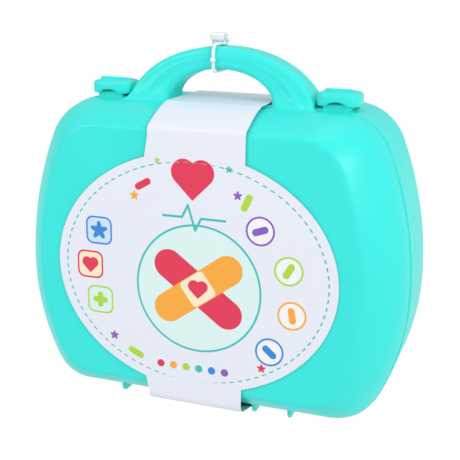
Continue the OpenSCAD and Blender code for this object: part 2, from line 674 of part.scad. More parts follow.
// s: side of the finger ring; the blade crosses to the other side below the pivot
module cutter_half(s, x0, tip_w, layer) {
    tip_z = cutter_pivot_z - cutter_l * 0.42;
    p = cutter_pivot_z;
    translate([x0, cutter_y + layer * (cutter_t + fit), 0]) rotate([90, 0, 0]) difference() {
        union() {
            linear_extrude(cutter_t) circle_at([s * ring_x, ring_z], ring_d / 2);
            linear_extrude(cutter_t) polygon([[s * 17.5, ring_z - 9.5], [s * 9, ring_z - 11.3], [-s * 3.5, p + 4],
                [-s * 4.8, p - 2], [s * 2, p - 5], [s * 5.2, p + 3]]);
            linear_extrude(cutter_t) circle_at([0, p], 6.5);
            linear_extrude(cutter_t) polygon([[-s * 5.5, p + 1], [s * 4.6, p - 3], [s * 0.6, tip_z], [-s * tip_w, tip_z],
                [-s * 6, p - 14]]);
        }
        translate([0, 0, -1]) linear_extrude(cutter_t + 2) {
            circle_at([s * ring_x, ring_z], ring_hole / 2);
            circle_at([0, p], 2.1);
        }
    }
}
module circle_at(p, r) { translate(p) circle(r = r, $fn = round_fn); }
module rivet(x0) {
    color(white) translate([x0, cutter_y - cutter_t - fit, cutter_pivot_z]) {
        translate([0, -0.8, 0]) along_y(4, 2 * cutter_t + 3 * fit + 1.2);
        translate([0, -1.4, 0]) along_y(8, 1.2);
    }
}
scissors_x = -hook_x + ring_x;
forceps_x = hook_x - ring_x;

// ---- tools in the worktop places ----
floor_y = worktop_y - place_depth + fit;
syringe_x = 36;
module syringe_barrel() {
    r = syringe_d / 2;
    color(clear) translate([syringe_x, floor_y + 11.2, places[0][1]]) rotate([0, 90, 0]) difference() {
        union() {
            cylinder(d = syringe_d, h = syringe_l - 12, $fn = round_fn);
            translate([0, 0, syringe_l - 12]) cylinder(d1 = syringe_d, d2 = 5, h = 4, $fn = round_fn);
            translate([0, 0, syringe_l - 8]) cylinder(d = 5, h = 8, $fn = round_fn);
            cylinder(d = 21, h = 2, $fn = round_fn);
        }
        translate([0, 0, -1]) cylinder(d = syringe_d - 3, h = syringe_l - 14, $fn = round_fn);
    }
}
module syringe_plunger() {
    color(red) translate([syringe_x, floor_y + 11.2, places[0][1]]) rotate([0, 90, 0]) {
        translate([0, 0, 24]) cylinder(d = syringe_d - 3.4, h = 5, $fn = round_fn);
        translate([0, 0, -1]) cylinder(d = 5, h = 26, $fn = round_fn);
        translate([0, 0, -3]) cylinder(d = 19, h = 2.4, $fn = round_fn);
    }
}

mirror_rim = 1.8;
module mirror_handle() {
    p = places[1];
    x = p[0] - mirror_l / 2;
    head_x = x + mirror_l - mirror_head_d / 2;
    neck_x = x + mirror_l - mirror_head_d - 7;
    color(yellow) union() {
        // flat grip that narrows to the neck
        translate([0, floor_y + 5, 0]) rotate([90, 0, 0]) linear_extrude(5)
            polygon([[x, p[1] - 3], [x + 2, p[1] - 4.4], [x + 34, p[1] - 4.4], [x + 46, p[1] - 2.6], [neck_x + 1, p[1] - 2],
                [neck_x + 1, p[1] + 2], [x + 46, p[1] + 2.6], [x + 34, p[1] + 4.4], [x + 2, p[1] + 4.4], [x, p[1] + 3]]);
        translate([head_x, floor_y, p[1]]) difference() {
            along_y(mirror_head_d, 4);
            translate([0, mirror_rim, 0]) along_y(mirror_head_d - 2 * mirror_rim, 4);
        }
        translate([neck_x, floor_y, p[1] - 1.6]) cube([head_x - mirror_head_d / 2 + 1 - neck_x, 4, 3.2]);
    }
}
module mirror_glass() {
    color(steel) translate([places[1][0] + (mirror_l - mirror_head_d) / 2, floor_y + mirror_rim + 0.1, places[1][1]])
        along_y(mirror_head_d - 2 * mirror_rim - 2 * fit, 1.2);
}

module reflex_hammer() {
    p = places[2];
    x = p[0] - hammer_l / 2;
    w = hammer_head_w / 2;
    head_l = 10;
    color(yellow) union() {
        translate([x, floor_y + 5, p[1]]) rotate([0, 90, 0]) cylinder(d1 = 9, d2 = 6, h = hammer_l - head_l / 2, $fn = round_fn);
        translate([x + hammer_l - head_l, floor_y, p[1]]) rotate([90, 0, 90]) linear_extrude(head_l)
            polygon([[0, -0.6 * w], [2, -w], [8, -w], [10, -0.6 * w], [9, 0.6 * w], [5, w], [1, 0.6 * w]]);
    }
}

module tongs() {
    p = places[3];
    x = p[0] - tongs_l / 2;
    w = tongs_w / 2;
    tip = 3.4;
    arm = 2.4;
    bend = tongs_l / 2;
    color(teal) translate([0, floor_y + 9, 0]) rotate([90, 0, 0]) linear_extrude(9)
        polygon([for (q = [[0, -w + 2], [6, -w], [tongs_l, -tip], [tongs_l, -tip + arm], [bend, -w + arm + 1.5], [8, -w + arm + 1],
            [5, 0], [8, w - arm - 1], [bend, w - arm - 1.5], [tongs_l, tip - arm], [tongs_l, tip], [6, w], [0, w - 2]])
            [x + q[0], p[1] + q[1]]]);
}

thermometer_d = 7;
thermometer_tip_l = 12;
display_l = 24;
display_w = 11;
module thermometer_body() {
    p = thermometer_place;
    color(white) translate([p[0], floor_y + thermometer_d / 2, p[1] - thermometer_l / 2 + thermometer_tip_l])
        cylinder(d = thermometer_d, h = thermometer_l - thermometer_tip_l, $fn = round_fn);
    color(white) translate([p[0] - display_w / 2, floor_y, p[1] + thermometer_l / 2 - display_l])
        cube([display_w, thermometer_d, display_l]);
}
module thermometer_tip() {
    p = thermometer_place;
    color(blue) translate([p[0], floor_y + thermometer_d / 2, p[1] - thermometer_l / 2])
        cylinder(d1 = 3, d2 = 5, h = thermometer_tip_l, $fn = round_fn);
}

// ---- stethoscope stored under the worktop ----
headset_r = 42;
headset_d = 7;
headset_z = 146;
ear_arm_l = 26;
ear_tip_d = 11;
headset_y = front_y + wall + ear_tip_d / 2 + 0.5;
module headset() {
    color(blue) translate([0, headset_y, headset_z]) union() {
        rotate([90, 0, 0]) rotate_extrude(angle = 180, $fn = 72) translate([headset_r, 0]) circle(d = headset_d, $fn = 24);
        for (s = [-1, 1]) {
            translate([s * headset_r, 0, -ear_arm_l]) cylinder(d = headset_d, h = ear_arm_l + 0.01, $fn = 24);
            translate([s * headset_r, 0, -ear_arm_l]) sphere(d = ear_tip_d, $fn = 32);
        }
    }
}
chest_w = 38;
chest_t = 13;
chest_z = 126;
module chest_piece() {
    lobe_r = chest_w * 11 / 38;
    lobe_x = chest_w / 2 - lobe_r;
    color(red) translate([0, front_y + wall + 0.3 + chest_t, chest_z]) rotate([90, 0, 0]) linear_extrude(chest_t) union() {
        for (s = [-1, 1]) circle_at([s * lobe_x, lobe_r * 0.55], lobe_r);
        polygon([[-lobe_r * 1.6, lobe_r * 0.09], [0, -lobe_r * 1.82], [lobe_r * 1.6, lobe_r * 0.09], [lobe_x, lobe_r * 0.55],
            [-lobe_x, lobe_r * 0.55]]);
    }
}

front_shell();
rear_shell();
hinge_pin(-1);  // left_hinge_pin
hinge_pin(1);  // right_hinge_pin
color(teal) latch(-1);  // left_latch
color(teal) latch(1);  // right_latch
latch_pin(-1);  // left_latch_pin
latch_pin(1);  // right_latch_pin
sleeve_front();
sleeve_rear();
tie_strand();
tie_head();
worktop_tray();
side_tray(-1);  // left_side_tray
side_tray(1);  // right_side_tray
hook_bar();
badge();
shelf();
lid_label();
color(blue) cutter_half(-1, scissors_x, 0.6, 0);  // scissors_left
color(blue) cutter_half(1, scissors_x, 0.6, 1);  // scissors_right
rivet(scissors_x);  // scissors_rivet
color(blue) cutter_half(-1, forceps_x, 2.4, 0);  // forceps_left
color(blue) cutter_half(1, forceps_x, 2.4, 1);  // forceps_right
rivet(forceps_x);  // forceps_rivet
bottle_body();
bottle_cap();
syringe_barrel();
syringe_plunger();
mirror_handle();
mirror_glass();
reflex_hammer();
tongs();
thermometer_body();
thermometer_tip();
headset();
chest_piece();
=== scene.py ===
"""Toy doctor case: two moulded half shells with a handle, hinged along the bottom and shut by two
latches, in a card sleeve held by a tie, with its trays and play tools inside."""

import json
import math

import bmesh
import bpy
import numpy as np
from mathutils import Matrix

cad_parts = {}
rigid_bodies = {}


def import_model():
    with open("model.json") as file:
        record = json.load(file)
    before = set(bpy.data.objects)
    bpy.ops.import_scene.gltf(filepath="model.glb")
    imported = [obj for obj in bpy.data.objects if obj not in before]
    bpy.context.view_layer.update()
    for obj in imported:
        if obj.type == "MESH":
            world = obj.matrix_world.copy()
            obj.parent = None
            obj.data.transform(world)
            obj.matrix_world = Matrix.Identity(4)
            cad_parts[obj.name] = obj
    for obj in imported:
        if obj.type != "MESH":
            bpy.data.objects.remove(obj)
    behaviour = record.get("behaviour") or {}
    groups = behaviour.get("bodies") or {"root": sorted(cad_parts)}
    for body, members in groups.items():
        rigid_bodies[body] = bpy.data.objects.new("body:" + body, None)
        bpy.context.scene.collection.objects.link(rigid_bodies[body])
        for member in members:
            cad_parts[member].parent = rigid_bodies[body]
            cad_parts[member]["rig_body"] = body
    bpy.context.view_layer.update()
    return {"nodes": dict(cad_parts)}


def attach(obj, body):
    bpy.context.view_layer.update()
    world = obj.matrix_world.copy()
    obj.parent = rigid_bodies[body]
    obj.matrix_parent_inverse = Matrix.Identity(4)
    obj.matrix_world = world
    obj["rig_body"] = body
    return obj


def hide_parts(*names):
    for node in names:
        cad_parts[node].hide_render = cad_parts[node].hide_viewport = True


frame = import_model()
nodes = frame["nodes"]

# ---------------------------------------------------------------------------------------------
# Studio: the camera stands a little right of the case and above it, as in the photograph.
# Light comes from a white room, two soft boxes in front and one overhead.
# ---------------------------------------------------------------------------------------------
scene = bpy.context.scene
scene.view_settings.view_transform = "Standard"
azimuth, elevation, roll = np.radians([19.373, 15.288, 0.862])
forward = math.cos(elevation)
sight = np.array([-math.sin(azimuth) * forward, math.cos(azimuth) * forward, -math.sin(elevation)])
level = np.array([math.cos(azimuth), math.sin(azimuth), 0])
upward = np.cross(level, sight)
across = math.cos(roll) * level + math.sin(roll) * upward
upright = math.cos(roll) * upward - math.sin(roll) * level
lens = bpy.data.cameras.new("camera")
lens.sensor_width, lens.lens = 36, 72.80
camera = bpy.data.objects.new("camera", lens)
scene.collection.objects.link(camera)
place = np.eye(4)
place[:3, 0], place[:3, 1], place[:3, 2], place[:3, 3] = across, upright, -sight, (0.2109, -0.5809, 0.2867)
camera.matrix_world = Matrix(place)
scene.camera = camera


def soft_box(name, at, aim, size, watts):
    """A square area light at one point, turned to face another."""
    light = bpy.data.lights.new(name, "AREA")
    light.shape, light.size, light.energy = "SQUARE", size, watts
    lamp = bpy.data.objects.new(name, light)
    scene.collection.objects.link(lamp)
    lamp.location = at
    back = (np.array(at) - np.array(aim)) / np.linalg.norm(np.array(at) - np.array(aim))
    side = np.cross((0, 0, 1), back)
    side /= np.linalg.norm(side)
    turn = np.eye(4)
    turn[:3, 0], turn[:3, 1], turn[:3, 2], turn[:3, 3] = side, np.cross(back, side), back, at
    lamp.matrix_world = Matrix(turn)


soft_box("left_box", (-0.9, -1.0, 0.8), (0, 0, 0.12), 0.7, 6.2)
soft_box("right_box", (1.1, -0.5, 0.7), (0, 0, 0.12), 0.6, 6.9)
soft_box("top_box", (0.1, 0.1, 1.3), (0, 0, 0.12), 0.8, 1.8)

world = bpy.data.worlds.new("white_room")
scene.world = world
world.use_nodes = True
sky = world.node_tree
seen = sky.nodes.new("ShaderNodeLightPath")
strength = sky.nodes.new("ShaderNodeMapRange")
strength.inputs["To Min"].default_value = 0.56
strength.inputs["To Max"].default_value = 1.02
sky.links.new(seen.outputs["Is Camera Ray"], strength.inputs["Value"])
sky.nodes["Background"].inputs["Color"].default_value = (1, 1, 1, 1)
sky.links.new(strength.outputs["Result"], sky.nodes["Background"].inputs["Strength"])


# ---------------------------------------------------------------------------------------------
# Shells: front and rear halves, injection moulded in turquoise polypropylene. The wide front bevel
# runs out under a raised collar round the rim, and each half carries one half of the handle.
# ---------------------------------------------------------------------------------------------
class Signal:
    """A value in a material; arithmetic on it adds the Math nodes that work it out."""

    def __init__(self, look, socket):
        self.look, self.socket = look, socket

    def maths(self, how, *others):
        """The Math node of that name, with this value first."""
        return self.look.add("ShaderNodeMath", {"operation": how}, (self, *others))

    def __add__(self, other):
        return self.maths("ADD", other)

    def __sub__(self, other):
        return self.maths("SUBTRACT", other)

    def __rsub__(self, other):
        return self.look.add("ShaderNodeMath", {"operation": "SUBTRACT"}, (other, self))

    def __mul__(self, other):
        return self.maths("MULTIPLY", other)

    def __truediv__(self, other):
        return self.maths("DIVIDE", other)

    def __abs__(self):
        return self.maths("ABSOLUTE")

    __radd__, __rmul__ = __add__, __mul__

    def root(self):
        """The square root."""
        return self.maths("SQRT")

    def least(self, other):
        """The smaller of two values: joins two shapes given by their distances."""
        return self.maths("MINIMUM", other)

    def most(self, other):
        """The greater of two values: keeps what two shapes have in common."""
        return self.maths("MAXIMUM", other)

    def fade(self, low, high):
        """0 below low and 1 above high, smooth between; it falls when low is the greater."""
        a, b, start, end = (low, high, 0, 1) if low < high else (high, low, 1, 0)
        smooth = {"interpolation_type": "SMOOTHSTEP"}
        return self.look.add("ShaderNodeMapRange", smooth, (self, a, b, start, end))


class Look:
    """A material built up node by node round one Principled shader."""

    def __init__(self, name, **plain):
        self.material = bpy.data.materials.new(name)
        self.material.use_nodes = True
        self.tree = self.material.node_tree
        self.shader = self.tree.nodes["Principled BSDF"]
        where = self.tree.nodes.new("ShaderNodeTexCoord").outputs["Object"]
        self.where = Signal(self, where)
        split = self.tree.nodes.new("ShaderNodeSeparateXYZ")
        self.tree.links.new(where, split.inputs[0])
        self.x, self.y, self.z = (Signal(self, s) for s in split.outputs)
        self.wear(**plain)

    def add(self, kind, settings, inputs, output=0):
        """One node: its settings first, then the values or links of its sockets."""
        node = self.tree.nodes.new(kind)
        for key, value in settings.items():
            setattr(node, key, value)
        pairs = inputs.items() if isinstance(inputs, dict) else enumerate(inputs)
        for key, value in pairs:
            if isinstance(value, Signal):
                self.tree.links.new(value.socket, node.inputs[key])
            else:
                node.inputs[key].default_value = value
        return Signal(self, node.outputs[output])

    def grain(self, scale, detail):
        """Cloudy noise from 0 to 1; scale is in cycles to the metre."""
        return self.add("ShaderNodeTexNoise", {}, {"Vector": self.where, "Scale": scale, "Detail": detail})

    def tint(self, share, one, other):
        """Colour one where share is 0 and the other where it is 1."""
        rgba = [c if isinstance(c, Signal) else (*c, 1) for c in (one, other)]
        return self.add("ShaderNodeMix", {"data_type": "RGBA"}, {0: share, 6: rgba[0], 7: rgba[1]}, 2)

    def bump(self, height, distance):
        """Relief of the given height, where 1 is as high as the distance."""
        values = {"Strength": 1.0, "Distance": distance, "Height": height}
        self.wear(Normal=self.add("ShaderNodeBump", {}, values))

    def wear(self, **inputs):
        """Set or link the shader's own sockets, named with _ for a space."""
        for name, value in inputs.items():
            socket = self.shader.inputs[name.replace("_", " ")]
            if isinstance(value, Signal):
                self.tree.links.new(value.socket, socket)
            else:
                socket.default_value = (*value, 1) if socket.type == "RGBA" and len(value) == 3 else value


def moulded(name, colour, roughness=0.3, **plain):
    """Moulded plastic: cloudy flow marks in the colour, a fine eroded texture and shallow sink marks."""
    look = Look(name, **plain)
    pale = tuple(min(1.0, c * 1.05 + 0.012) for c in colour)
    look.wear(Base_Color=look.tint(look.grain(22, 3), colour, pale))
    look.wear(Roughness=look.grain(420, 3) * 0.08 + (roughness - 0.04))
    look.bump(look.grain(1500, 2) * 0.35 + look.grain(45, 1) * 2.2, 0.00003)
    return look


case_plastic = moulded("case_plastic", (0.038, 0.81, 0.75), 0.32, IOR=1.38, Specular_IOR_Level=0.42)

MM = 0.001
FRONT_Y, SEAM_Y, REAR_Y = -52.0, 6.0, 52.0
HALF_W, CASE_TOP, LIFT, WIDEST_Z = 134.0, 206.5, 1.5, 91.0
UPPER_R, LOWER_R, TOP_R, BOTTOM_R = 243.0, 164.0, 36.0, 27.0
INSETS = (22.0, 12.0, 19.0)  # side, top, bottom
BEVEL, BEVEL_POWER, REAR_ROUND, REAR_SHARE = 35.5, 1.7, 14.0, 0.78
COLLAR_STEP, RIM = 1.0, 3.2
LATCH_X, LATCH_ROOM = 79.02, 14.6  # middle of a latch, and half of the width kept free for it


def case_outline(half_count):
    """Right half as four tangent arcs and a straight top, evenly spaced along its length, then mirrored."""

    def corner_x(side_r, corner_r, dz):
        """Where a corner arc's middle lies if it touches the side arc from inside, dz above its middle."""
        return HALF_W - side_r + math.sqrt((side_r - corner_r) ** 2 - dz * dz)

    top_z, low_z = CASE_TOP - TOP_R, LIFT + BOTTOM_R
    top_x = corner_x(UPPER_R, TOP_R, top_z - WIDEST_Z)
    low_x = corner_x(LOWER_R, BOTTOM_R, WIDEST_Z - low_z)
    top_a = math.atan2(top_z - WIDEST_Z, top_x - HALF_W + UPPER_R)
    low_a = math.atan2(low_z - WIDEST_Z, low_x - HALF_W + LOWER_R)
    path = [np.array([[0, LIFT]])]
    for cx, cz, r, a0, a1 in (
        (low_x, low_z, BOTTOM_R, -math.pi / 2, low_a),
        (HALF_W - LOWER_R, WIDEST_Z, LOWER_R, low_a, 0),
        (HALF_W - UPPER_R, WIDEST_Z, UPPER_R, 0, top_a),
        (top_x, top_z, TOP_R, top_a, math.pi / 2),
    ):
        a = np.linspace(a0, a1, 200)
        path.append(np.stack([cx + r * np.cos(a), cz + r * np.sin(a)], -1))
    path.append(np.array([[0, CASE_TOP]]))
    path = np.concatenate(path)
    along = np.concatenate([[0], np.cumsum(np.linalg.norm(np.diff(path, axis=0), axis=1))])
    even = np.linspace(0, along[-1], half_count)
    right = np.stack([np.interp(even, along, path[:, 0]), np.interp(even, along, path[:, 1])], -1)
    return np.concatenate([right, (right * (-1, 1))[-2:0:-1]])


OUTLINE = case_outline(181)


def case_rings(y, share, inset):
    """The outline drawn in by a share of the face insets, and by an inset all round, at each depth y."""
    y, share, inset = (np.asarray(v, float)[:, None] for v in (y, share, inset))
    side, top, bottom = (k * share + inset for k in INSETS)
    x = OUTLINE[:, 0] * (HALF_W - side) / HALF_W
    z = LIFT + bottom + (OUTLINE[:, 1] - LIFT) * (CASE_TOP - LIFT - top - bottom) / (CASE_TOP - LIFT)
    return np.stack([x, np.broadcast_to(y, x.shape), z], -1)


def skin(grid, wrap=True, first=True, last=True):
    """Faces of a grid of points: rows joined in order, wrapped across and capped at the ends as asked."""
    rows, count = grid.shape[:2]
    i, j = np.meshgrid(np.arange(rows - 1), np.arange(count if wrap else count - 1), indexing="ij")
    k = (j + 1) % count
    quads = np.stack([i * count + j, i * count + k, (i + 1) * count + k, (i + 1) * count + j], -1)
    faces = quads.reshape(-1, 4).tolist()
    if first:
        faces.append(list(range(count))[::-1])
    if last:
        faces.append([(rows - 1) * count + n for n in range(count)])
    return grid.reshape(-1, 3), faces


def make(name, parts, looks, body, crisp=30, rounded=0.0, turn=True):
    """One object from several grids in millimetres: edges sharper than crisp stay sharp or get a round.
    With turn, faces are turned outwards; a copy's faces point the right way, so its flat ones are joined."""
    points = np.concatenate([p for p, _ in parts]) * MM
    starts = np.cumsum([0] + [len(p) for p, _ in parts])
    faces = [[n + s for n in face] for (_, group), s in zip(parts, starts) for face in group]
    mesh = bpy.data.meshes.new(name)
    mesh.from_pydata(points.tolist(), [], faces)
    piece = bpy.data.objects.new(name, mesh)
    scene.collection.objects.link(piece)
    work = bmesh.new()
    work.from_mesh(mesh)
    bmesh.ops.remove_doubles(work, verts=work.verts, dist=1e-6)
    if turn:
        bmesh.ops.recalc_face_normals(work, faces=work.faces)
    else:
        bmesh.ops.dissolve_limit(work, angle_limit=0.01, verts=work.verts, edges=work.edges)
    work.to_mesh(mesh)
    work.free()
    mesh.shade_smooth()
    mesh.set_sharp_from_angle(angle=math.radians(crisp))
    for look in looks if isinstance(looks, list) else [looks]:
        mesh.materials.append(look.material)
    if rounded:
        edge = piece.modifiers.new("rounded", "BEVEL")
        edge.width, edge.segments = rounded * MM, 2
        edge.limit_method, edge.angle_limit = "ANGLE", math.radians(crisp)
        edge.harden_normals = True
    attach(piece, body)
    return piece


def front_share(t):
    """Share of the face insets left at t behind the front face: a power curve, 0 past the bevel."""
    return np.maximum(0, 1 - np.asarray(t, float) / BEVEL) ** BEVEL_POWER


def rear_share(t):
    """Share of the face insets left at t before the rear face: the same curve, shorter and shallower."""
    return REAR_SHARE * np.maximum(0, 1 - np.asarray(t, float) / REAR_ROUND) ** BEVEL_POWER


def groove_floor(y):
    """Height of the V-shaped groove under the hinge line: 5.3 in the middle, sloping to the underside."""
    sides = [SEAM_Y - 10, SEAM_Y - 5, SEAM_Y + 5, SEAM_Y + 10]
    return np.interp(y, sides, [LIFT, 5.3, 5.3, LIFT], left=0, right=0)


def shell_skin(outer, inner):
    """Closed skin: outer rings from the face to the rim, then inner rings back again."""
    out = case_rings(*np.array(outer).T)
    out[..., 2] = np.maximum(out[..., 2], groove_floor(out[..., 1]))
    # finger pockets in front of the latches
    x, y, z = np.abs(out[..., 0]), out[..., 1], out[..., 2]
    beside = np.maximum(np.maximum(np.abs(x - LATCH_X) - LATCH_ROOM, y - (SEAM_Y - 13.2)), (SEAM_Y - 20) - y)
    out[..., 2] = np.where(z > 190, np.minimum(z, CASE_TOP - 1.6 + 3 * np.maximum(beside, 0)), z)
    back = case_rings(*np.array(inner).T)
    depth = np.abs(back[..., 1] - SEAM_Y)
    rail = np.interp(depth, [0, 12, 12.6], [7.7, 7.7, 0])
    back[..., 2] = np.maximum(back[..., 2], rail)
    return skin(np.concatenate([out, back]))


# front profile: how deep the bevel lies at each share of the insets, rounded where it leaves the face
face_share = np.concatenate([
    [1.34, 1.2, 1.12, 1.07], np.linspace(1.04, 0.9, 12), np.linspace(0.87, 0.1, 20),
    [0.07, 0.045, 0.025, 0.01, 0.003, 0]])
slope = BEVEL * (1 - face_share ** (1 / BEVEL_POWER))
face_depth = 0.5 * (slope + np.sqrt(slope**2 + 2.2))
front_outer = [(FRONT_Y + t, s, COLLAR_STEP) for t, s in zip(face_depth, face_share)]
front_outer += [(FRONT_Y + t, 0, c) for t, c in (
    (38, 1), (40, 1), (41, 1), (41.4, 0.98), (41.5, 0.9), (41.52, 0.5), (41.6, 0.3), (41.8, 0.12),
    (42.1, 0.03), (42.5, 0), (44, 0), (46.5, 0), (47.3, 0), (48, 0), (50, 0), (53, 0), (56, 0),
    (57.3, 0), (57.6, 0.06), (57.8, 0.22), (57.9, 0.45), (57.9, 0.7), (57.9, 2.6), (57.7, 3.0),
    (57.3, RIM))]
inner_depth = np.array([54, 50, 46, 45.4, 41.5, 38, 34, 30, 26, 22, 18, 14, 11, 8, 6, 4.5, 3.4, 2.6, 2.2])
front_inner = [(FRONT_Y + t, front_share(t), RIM) for t in inner_depth]

front_skin = shell_skin(front_outer, front_inner)
front_shell = make("front_shell_moulding", [front_skin], case_plastic, "front_case")
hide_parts("front_shell")

rear_t = np.array([0.0, 0.0, 0.12, 0.3, 0.6, 1, 1.6, 2.4, 3.4, 4.6, 6, 7.6, 9.4, 11.4, 13, 14])
rear_inset = np.array([2.2, 1.3, 0.7, 0.4, 0.2, 0.08] + [0] * 10)
rear_outer = [(REAR_Y - t, s, i) for t, s, i in zip(rear_t, rear_share(rear_t), rear_inset)]
rear_outer += [(REAR_Y - t, 0, 0) for t in (18, 22, 26, 30, 34, 36, 38, 41, 43, 44.9)]
rear_outer += [(SEAM_Y + t, 0, inset) for t, inset in (
    (0.4, 0.06), (0.2, 0.22), (0.1, 0.45), (0.1, 2.6), (0.3, 3.0), (0.7, RIM))]
rear_depth = (9, 13, 17.9, 18.7, 24, 30, 36, 38.5, 41, 43.5, 45.5, 47, 48.2, 49.1, 49.8)
rear_inner = [(y, rear_share(REAR_Y - y), RIM) for y in rear_depth]
rear_skin = shell_skin(rear_outer, rear_inner)
rear_shell = make("rear_shell_moulding", [rear_skin], case_plastic, "rear_case")
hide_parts("rear_shell")

# ---------------------------------------------------------------------------------------------
# Handle: one hollow half of the arch on each shell, moulded in one with it. Each foot spreads
# forward and sideways and runs into the rim collar; a soft ridge fades out up the foot.
# ---------------------------------------------------------------------------------------------
HANDLE_DEPTH, HANDLE_ROUND, HANDLE_WALL = 12.0, 4.2, 2.2
ARCH_OUT, ARCH_IN = (67.5, 47.0, 195.0), (37.0, 23.5, 204.0)  # half width, rise, height of the feet


def handle_half(side):
    """A rounded U section carried from foot to foot between two half ellipses. A point of the section is a
    share of the band's width, an offset in millimetres and a depth from the parting plane. Both feet are
    pushed forward and sideways by amounts that die out with height."""
    climb = np.linspace(0, 1, 44) ** 1.3
    climb = np.concatenate([climb, 2 - climb[-2::-1]])[:, None]
    out_a, in_a = np.radians(10.67 + 79.33 * climb), np.radians(-0.73 + 90.73 * climb)
    out_x, out_z = ARCH_OUT[0] * np.cos(out_a), ARCH_OUT[2] + ARCH_OUT[1] * np.sin(out_a)
    in_x, in_z = ARCH_IN[0] * np.cos(in_a), ARCH_IN[2] + ARCH_IN[1] * np.sin(in_a)
    band = np.hypot(out_x - in_x, out_z - in_z)
    r, wall = HANDLE_ROUND, HANDLE_WALL
    a = np.radians(np.linspace(0, 90, 9))
    edge = [(1, -v, d) for v, d in zip(r - r * np.cos(a), HANDLE_DEPTH - r + r * np.sin(a))]
    face = [(f, r * (1 - 2 * f), HANDLE_DEPTH) for f in np.linspace(0.94, 0.06, 17)]
    lip = [(1, -wall, 0), (1, -0.5, 0), (1, -0.12, 0.12), (1, 0, 0.5), (1, 0, 3), (1, 0, 6)]
    mirrored = [(1 - f, -v, d) for f, v, d in (lip + edge)[::-1]]
    hollow = [(0, wall, 8), (0, wall + 1.2, 9.7), (1, -wall - 1.2, 9.7), (1, -wall, 8)]
    section = np.array(lip + edge + face + mirrored + hollow)
    share, offset, depth = section.T
    q = share + offset / band
    x, z = in_x + (out_x - in_x) * q, in_z + (out_z - in_z) * q
    high = np.maximum(z - (CASE_TOP - 1), 0)
    outside = np.arange(len(section)) < len(section) - len(hollow)
    lean = np.where(outside, (depth / HANDLE_DEPTH) ** 1.5, 0)
    ridge = 1.7 * np.exp(-(((q - 0.56) / 0.085) ** 2)) * np.exp(-high / 15) * np.clip(high / 2, 0, 1)
    forward = (4.6 * np.exp(-high / 7.0) + 3.2 * np.exp(-high / 1.8) + ridge) * lean
    front = np.clip((depth - 10.6) / 2, 0, 1) * outside
    sideways = (q * (1.6 + 5.0 * front) - (1 - q) * 1.2) * np.exp(-high / 3.6) * outside
    x = x + np.where(climb < 1, 1, -1) * sideways * (climb != 1)
    y = SEAM_Y + side * (0.1 + depth + forward)
    # room for the latch beside the foot
    beside = (np.abs(y - SEAM_Y) < 17.2) & (z > CASE_TOP - 1.2)
    x = np.where(beside, np.clip(x, LATCH_ROOM - LATCH_X, LATCH_X - LATCH_ROOM), x)
    return skin(np.stack([x, y, z], -1))


make("front_handle_half", [handle_half(-1)], case_plastic, "front_case", crisp=50)
make("rear_handle_half", [handle_half(1)], case_plastic, "rear_case", crisp=50)


# ---------------------------------------------------------------------------------------------
# Fittings moulded on the shells: hinge knuckles and the rails behind them, fin feet, ramped
# catches, latch ears and the posts under the worktop. All are the shells' own polypropylene.
# ---------------------------------------------------------------------------------------------
def prism(outline, low, high):
    """A closed [y, z] outline carried along X from low to high."""
    rows = [np.insert(np.asarray(outline, float), 0, x, axis=1) for x in (low, high)]
    return skin(np.array(rows))


def arc_points(centre, radius, start, end, count):
    """Points along a circular arc, from one angle to another in degrees."""
    a = np.radians(np.linspace(start, end, count))
    return np.stack([centre[0] + radius * np.cos(a), centre[1] + radius * np.sin(a)], -1)


def drum(centre, radius, low, high, axis="x"):
    """A round bar: circles along one axis, drawn in over a quarter circle at both ends."""
    edge = 0.4
    a = np.radians(np.linspace(0, 90, 5))
    draw, step = edge * (1 - np.sin(a)), edge * (1 - np.cos(a))
    along = np.concatenate([low + step, high - step[::-1]])[:, None]
    r = (radius - np.concatenate([draw, draw[::-1]]))[:, None]
    turn = np.linspace(0, 2 * np.pi, 40, endpoint=False)
    u, v = r * np.cos(turn), r * np.sin(turn)
    along = np.broadcast_to(along, u.shape)
    u, v = u + centre[0], v + centre[1]
    return skin(np.stack((along, u, v) if axis == "x" else (u, along, v), -1))


HINGE_X, HINGE_Z, KNUCKLE_R = 65.0, 4.5, 4.0
KNUCKLE_HALF, OUTER_AT, OUTER_HALF, RAIL_HALF = 6.5, 10.9, 4.0, 16.9  # along the hinge, from its middle
CATCH_HALF, EAR_AT, EAR_HALF, FIN_HALF = 9.0, 9.9, 1.4, 1.0
PIVOT_Y, PIVOT_Z = SEAM_Y + 7.0, CASE_TOP + 3.5
LATCH_Y = SEAM_Y - 16.5

t = np.array([21, 25.333, 29.667, 34])
front_fin = [(FRONT_Y + 34, 0), (FRONT_Y + 24.6, 0), (FRONT_Y + 22.4, 1.2), (FRONT_Y + 21, 4)]
front_fin += list(zip(FRONT_Y + t, LIFT + 2.2 + INSETS[2] * front_share(t)))
t = np.array([4.0, 8, 12, 16, 20])
rear_fin = [(REAR_Y - 20, 0), (REAR_Y - 8, 0), (REAR_Y - 6, 1.2), (REAR_Y - 4, 4)]
rear_fin += list(zip(REAR_Y - t, LIFT + 1.2 + INSETS[2] * rear_share(t)))
catch = [(y, CASE_TOP + up) for y, up in (
    (-7.1, -4), (-7.1, 2.6), (-6.1, 3.6), (-4.1, 3.6), (4.9, 0.6), (4.9, -4))]
ear_top = arc_points((PIVOT_Y, PIVOT_Z), 3, 0, 180, 15).tolist()
ear = [(PIVOT_Y + 3, CASE_TOP - 4)] + ear_top + [(PIVOT_Y - 3, CASE_TOP - 4)]
rail_front = [(-5.6, 3), (-5.6, 11), (5.9, 11), (5.9, 5.4), (1, 5.4), (-3.9, 2.4)]
rail_rear = [(6.1, 11), (17.6, 11), (17.6, 3), (15.9, 2.4), (11, 5.4), (6.1, 5.4)]
front_parts, rear_parts = [], []
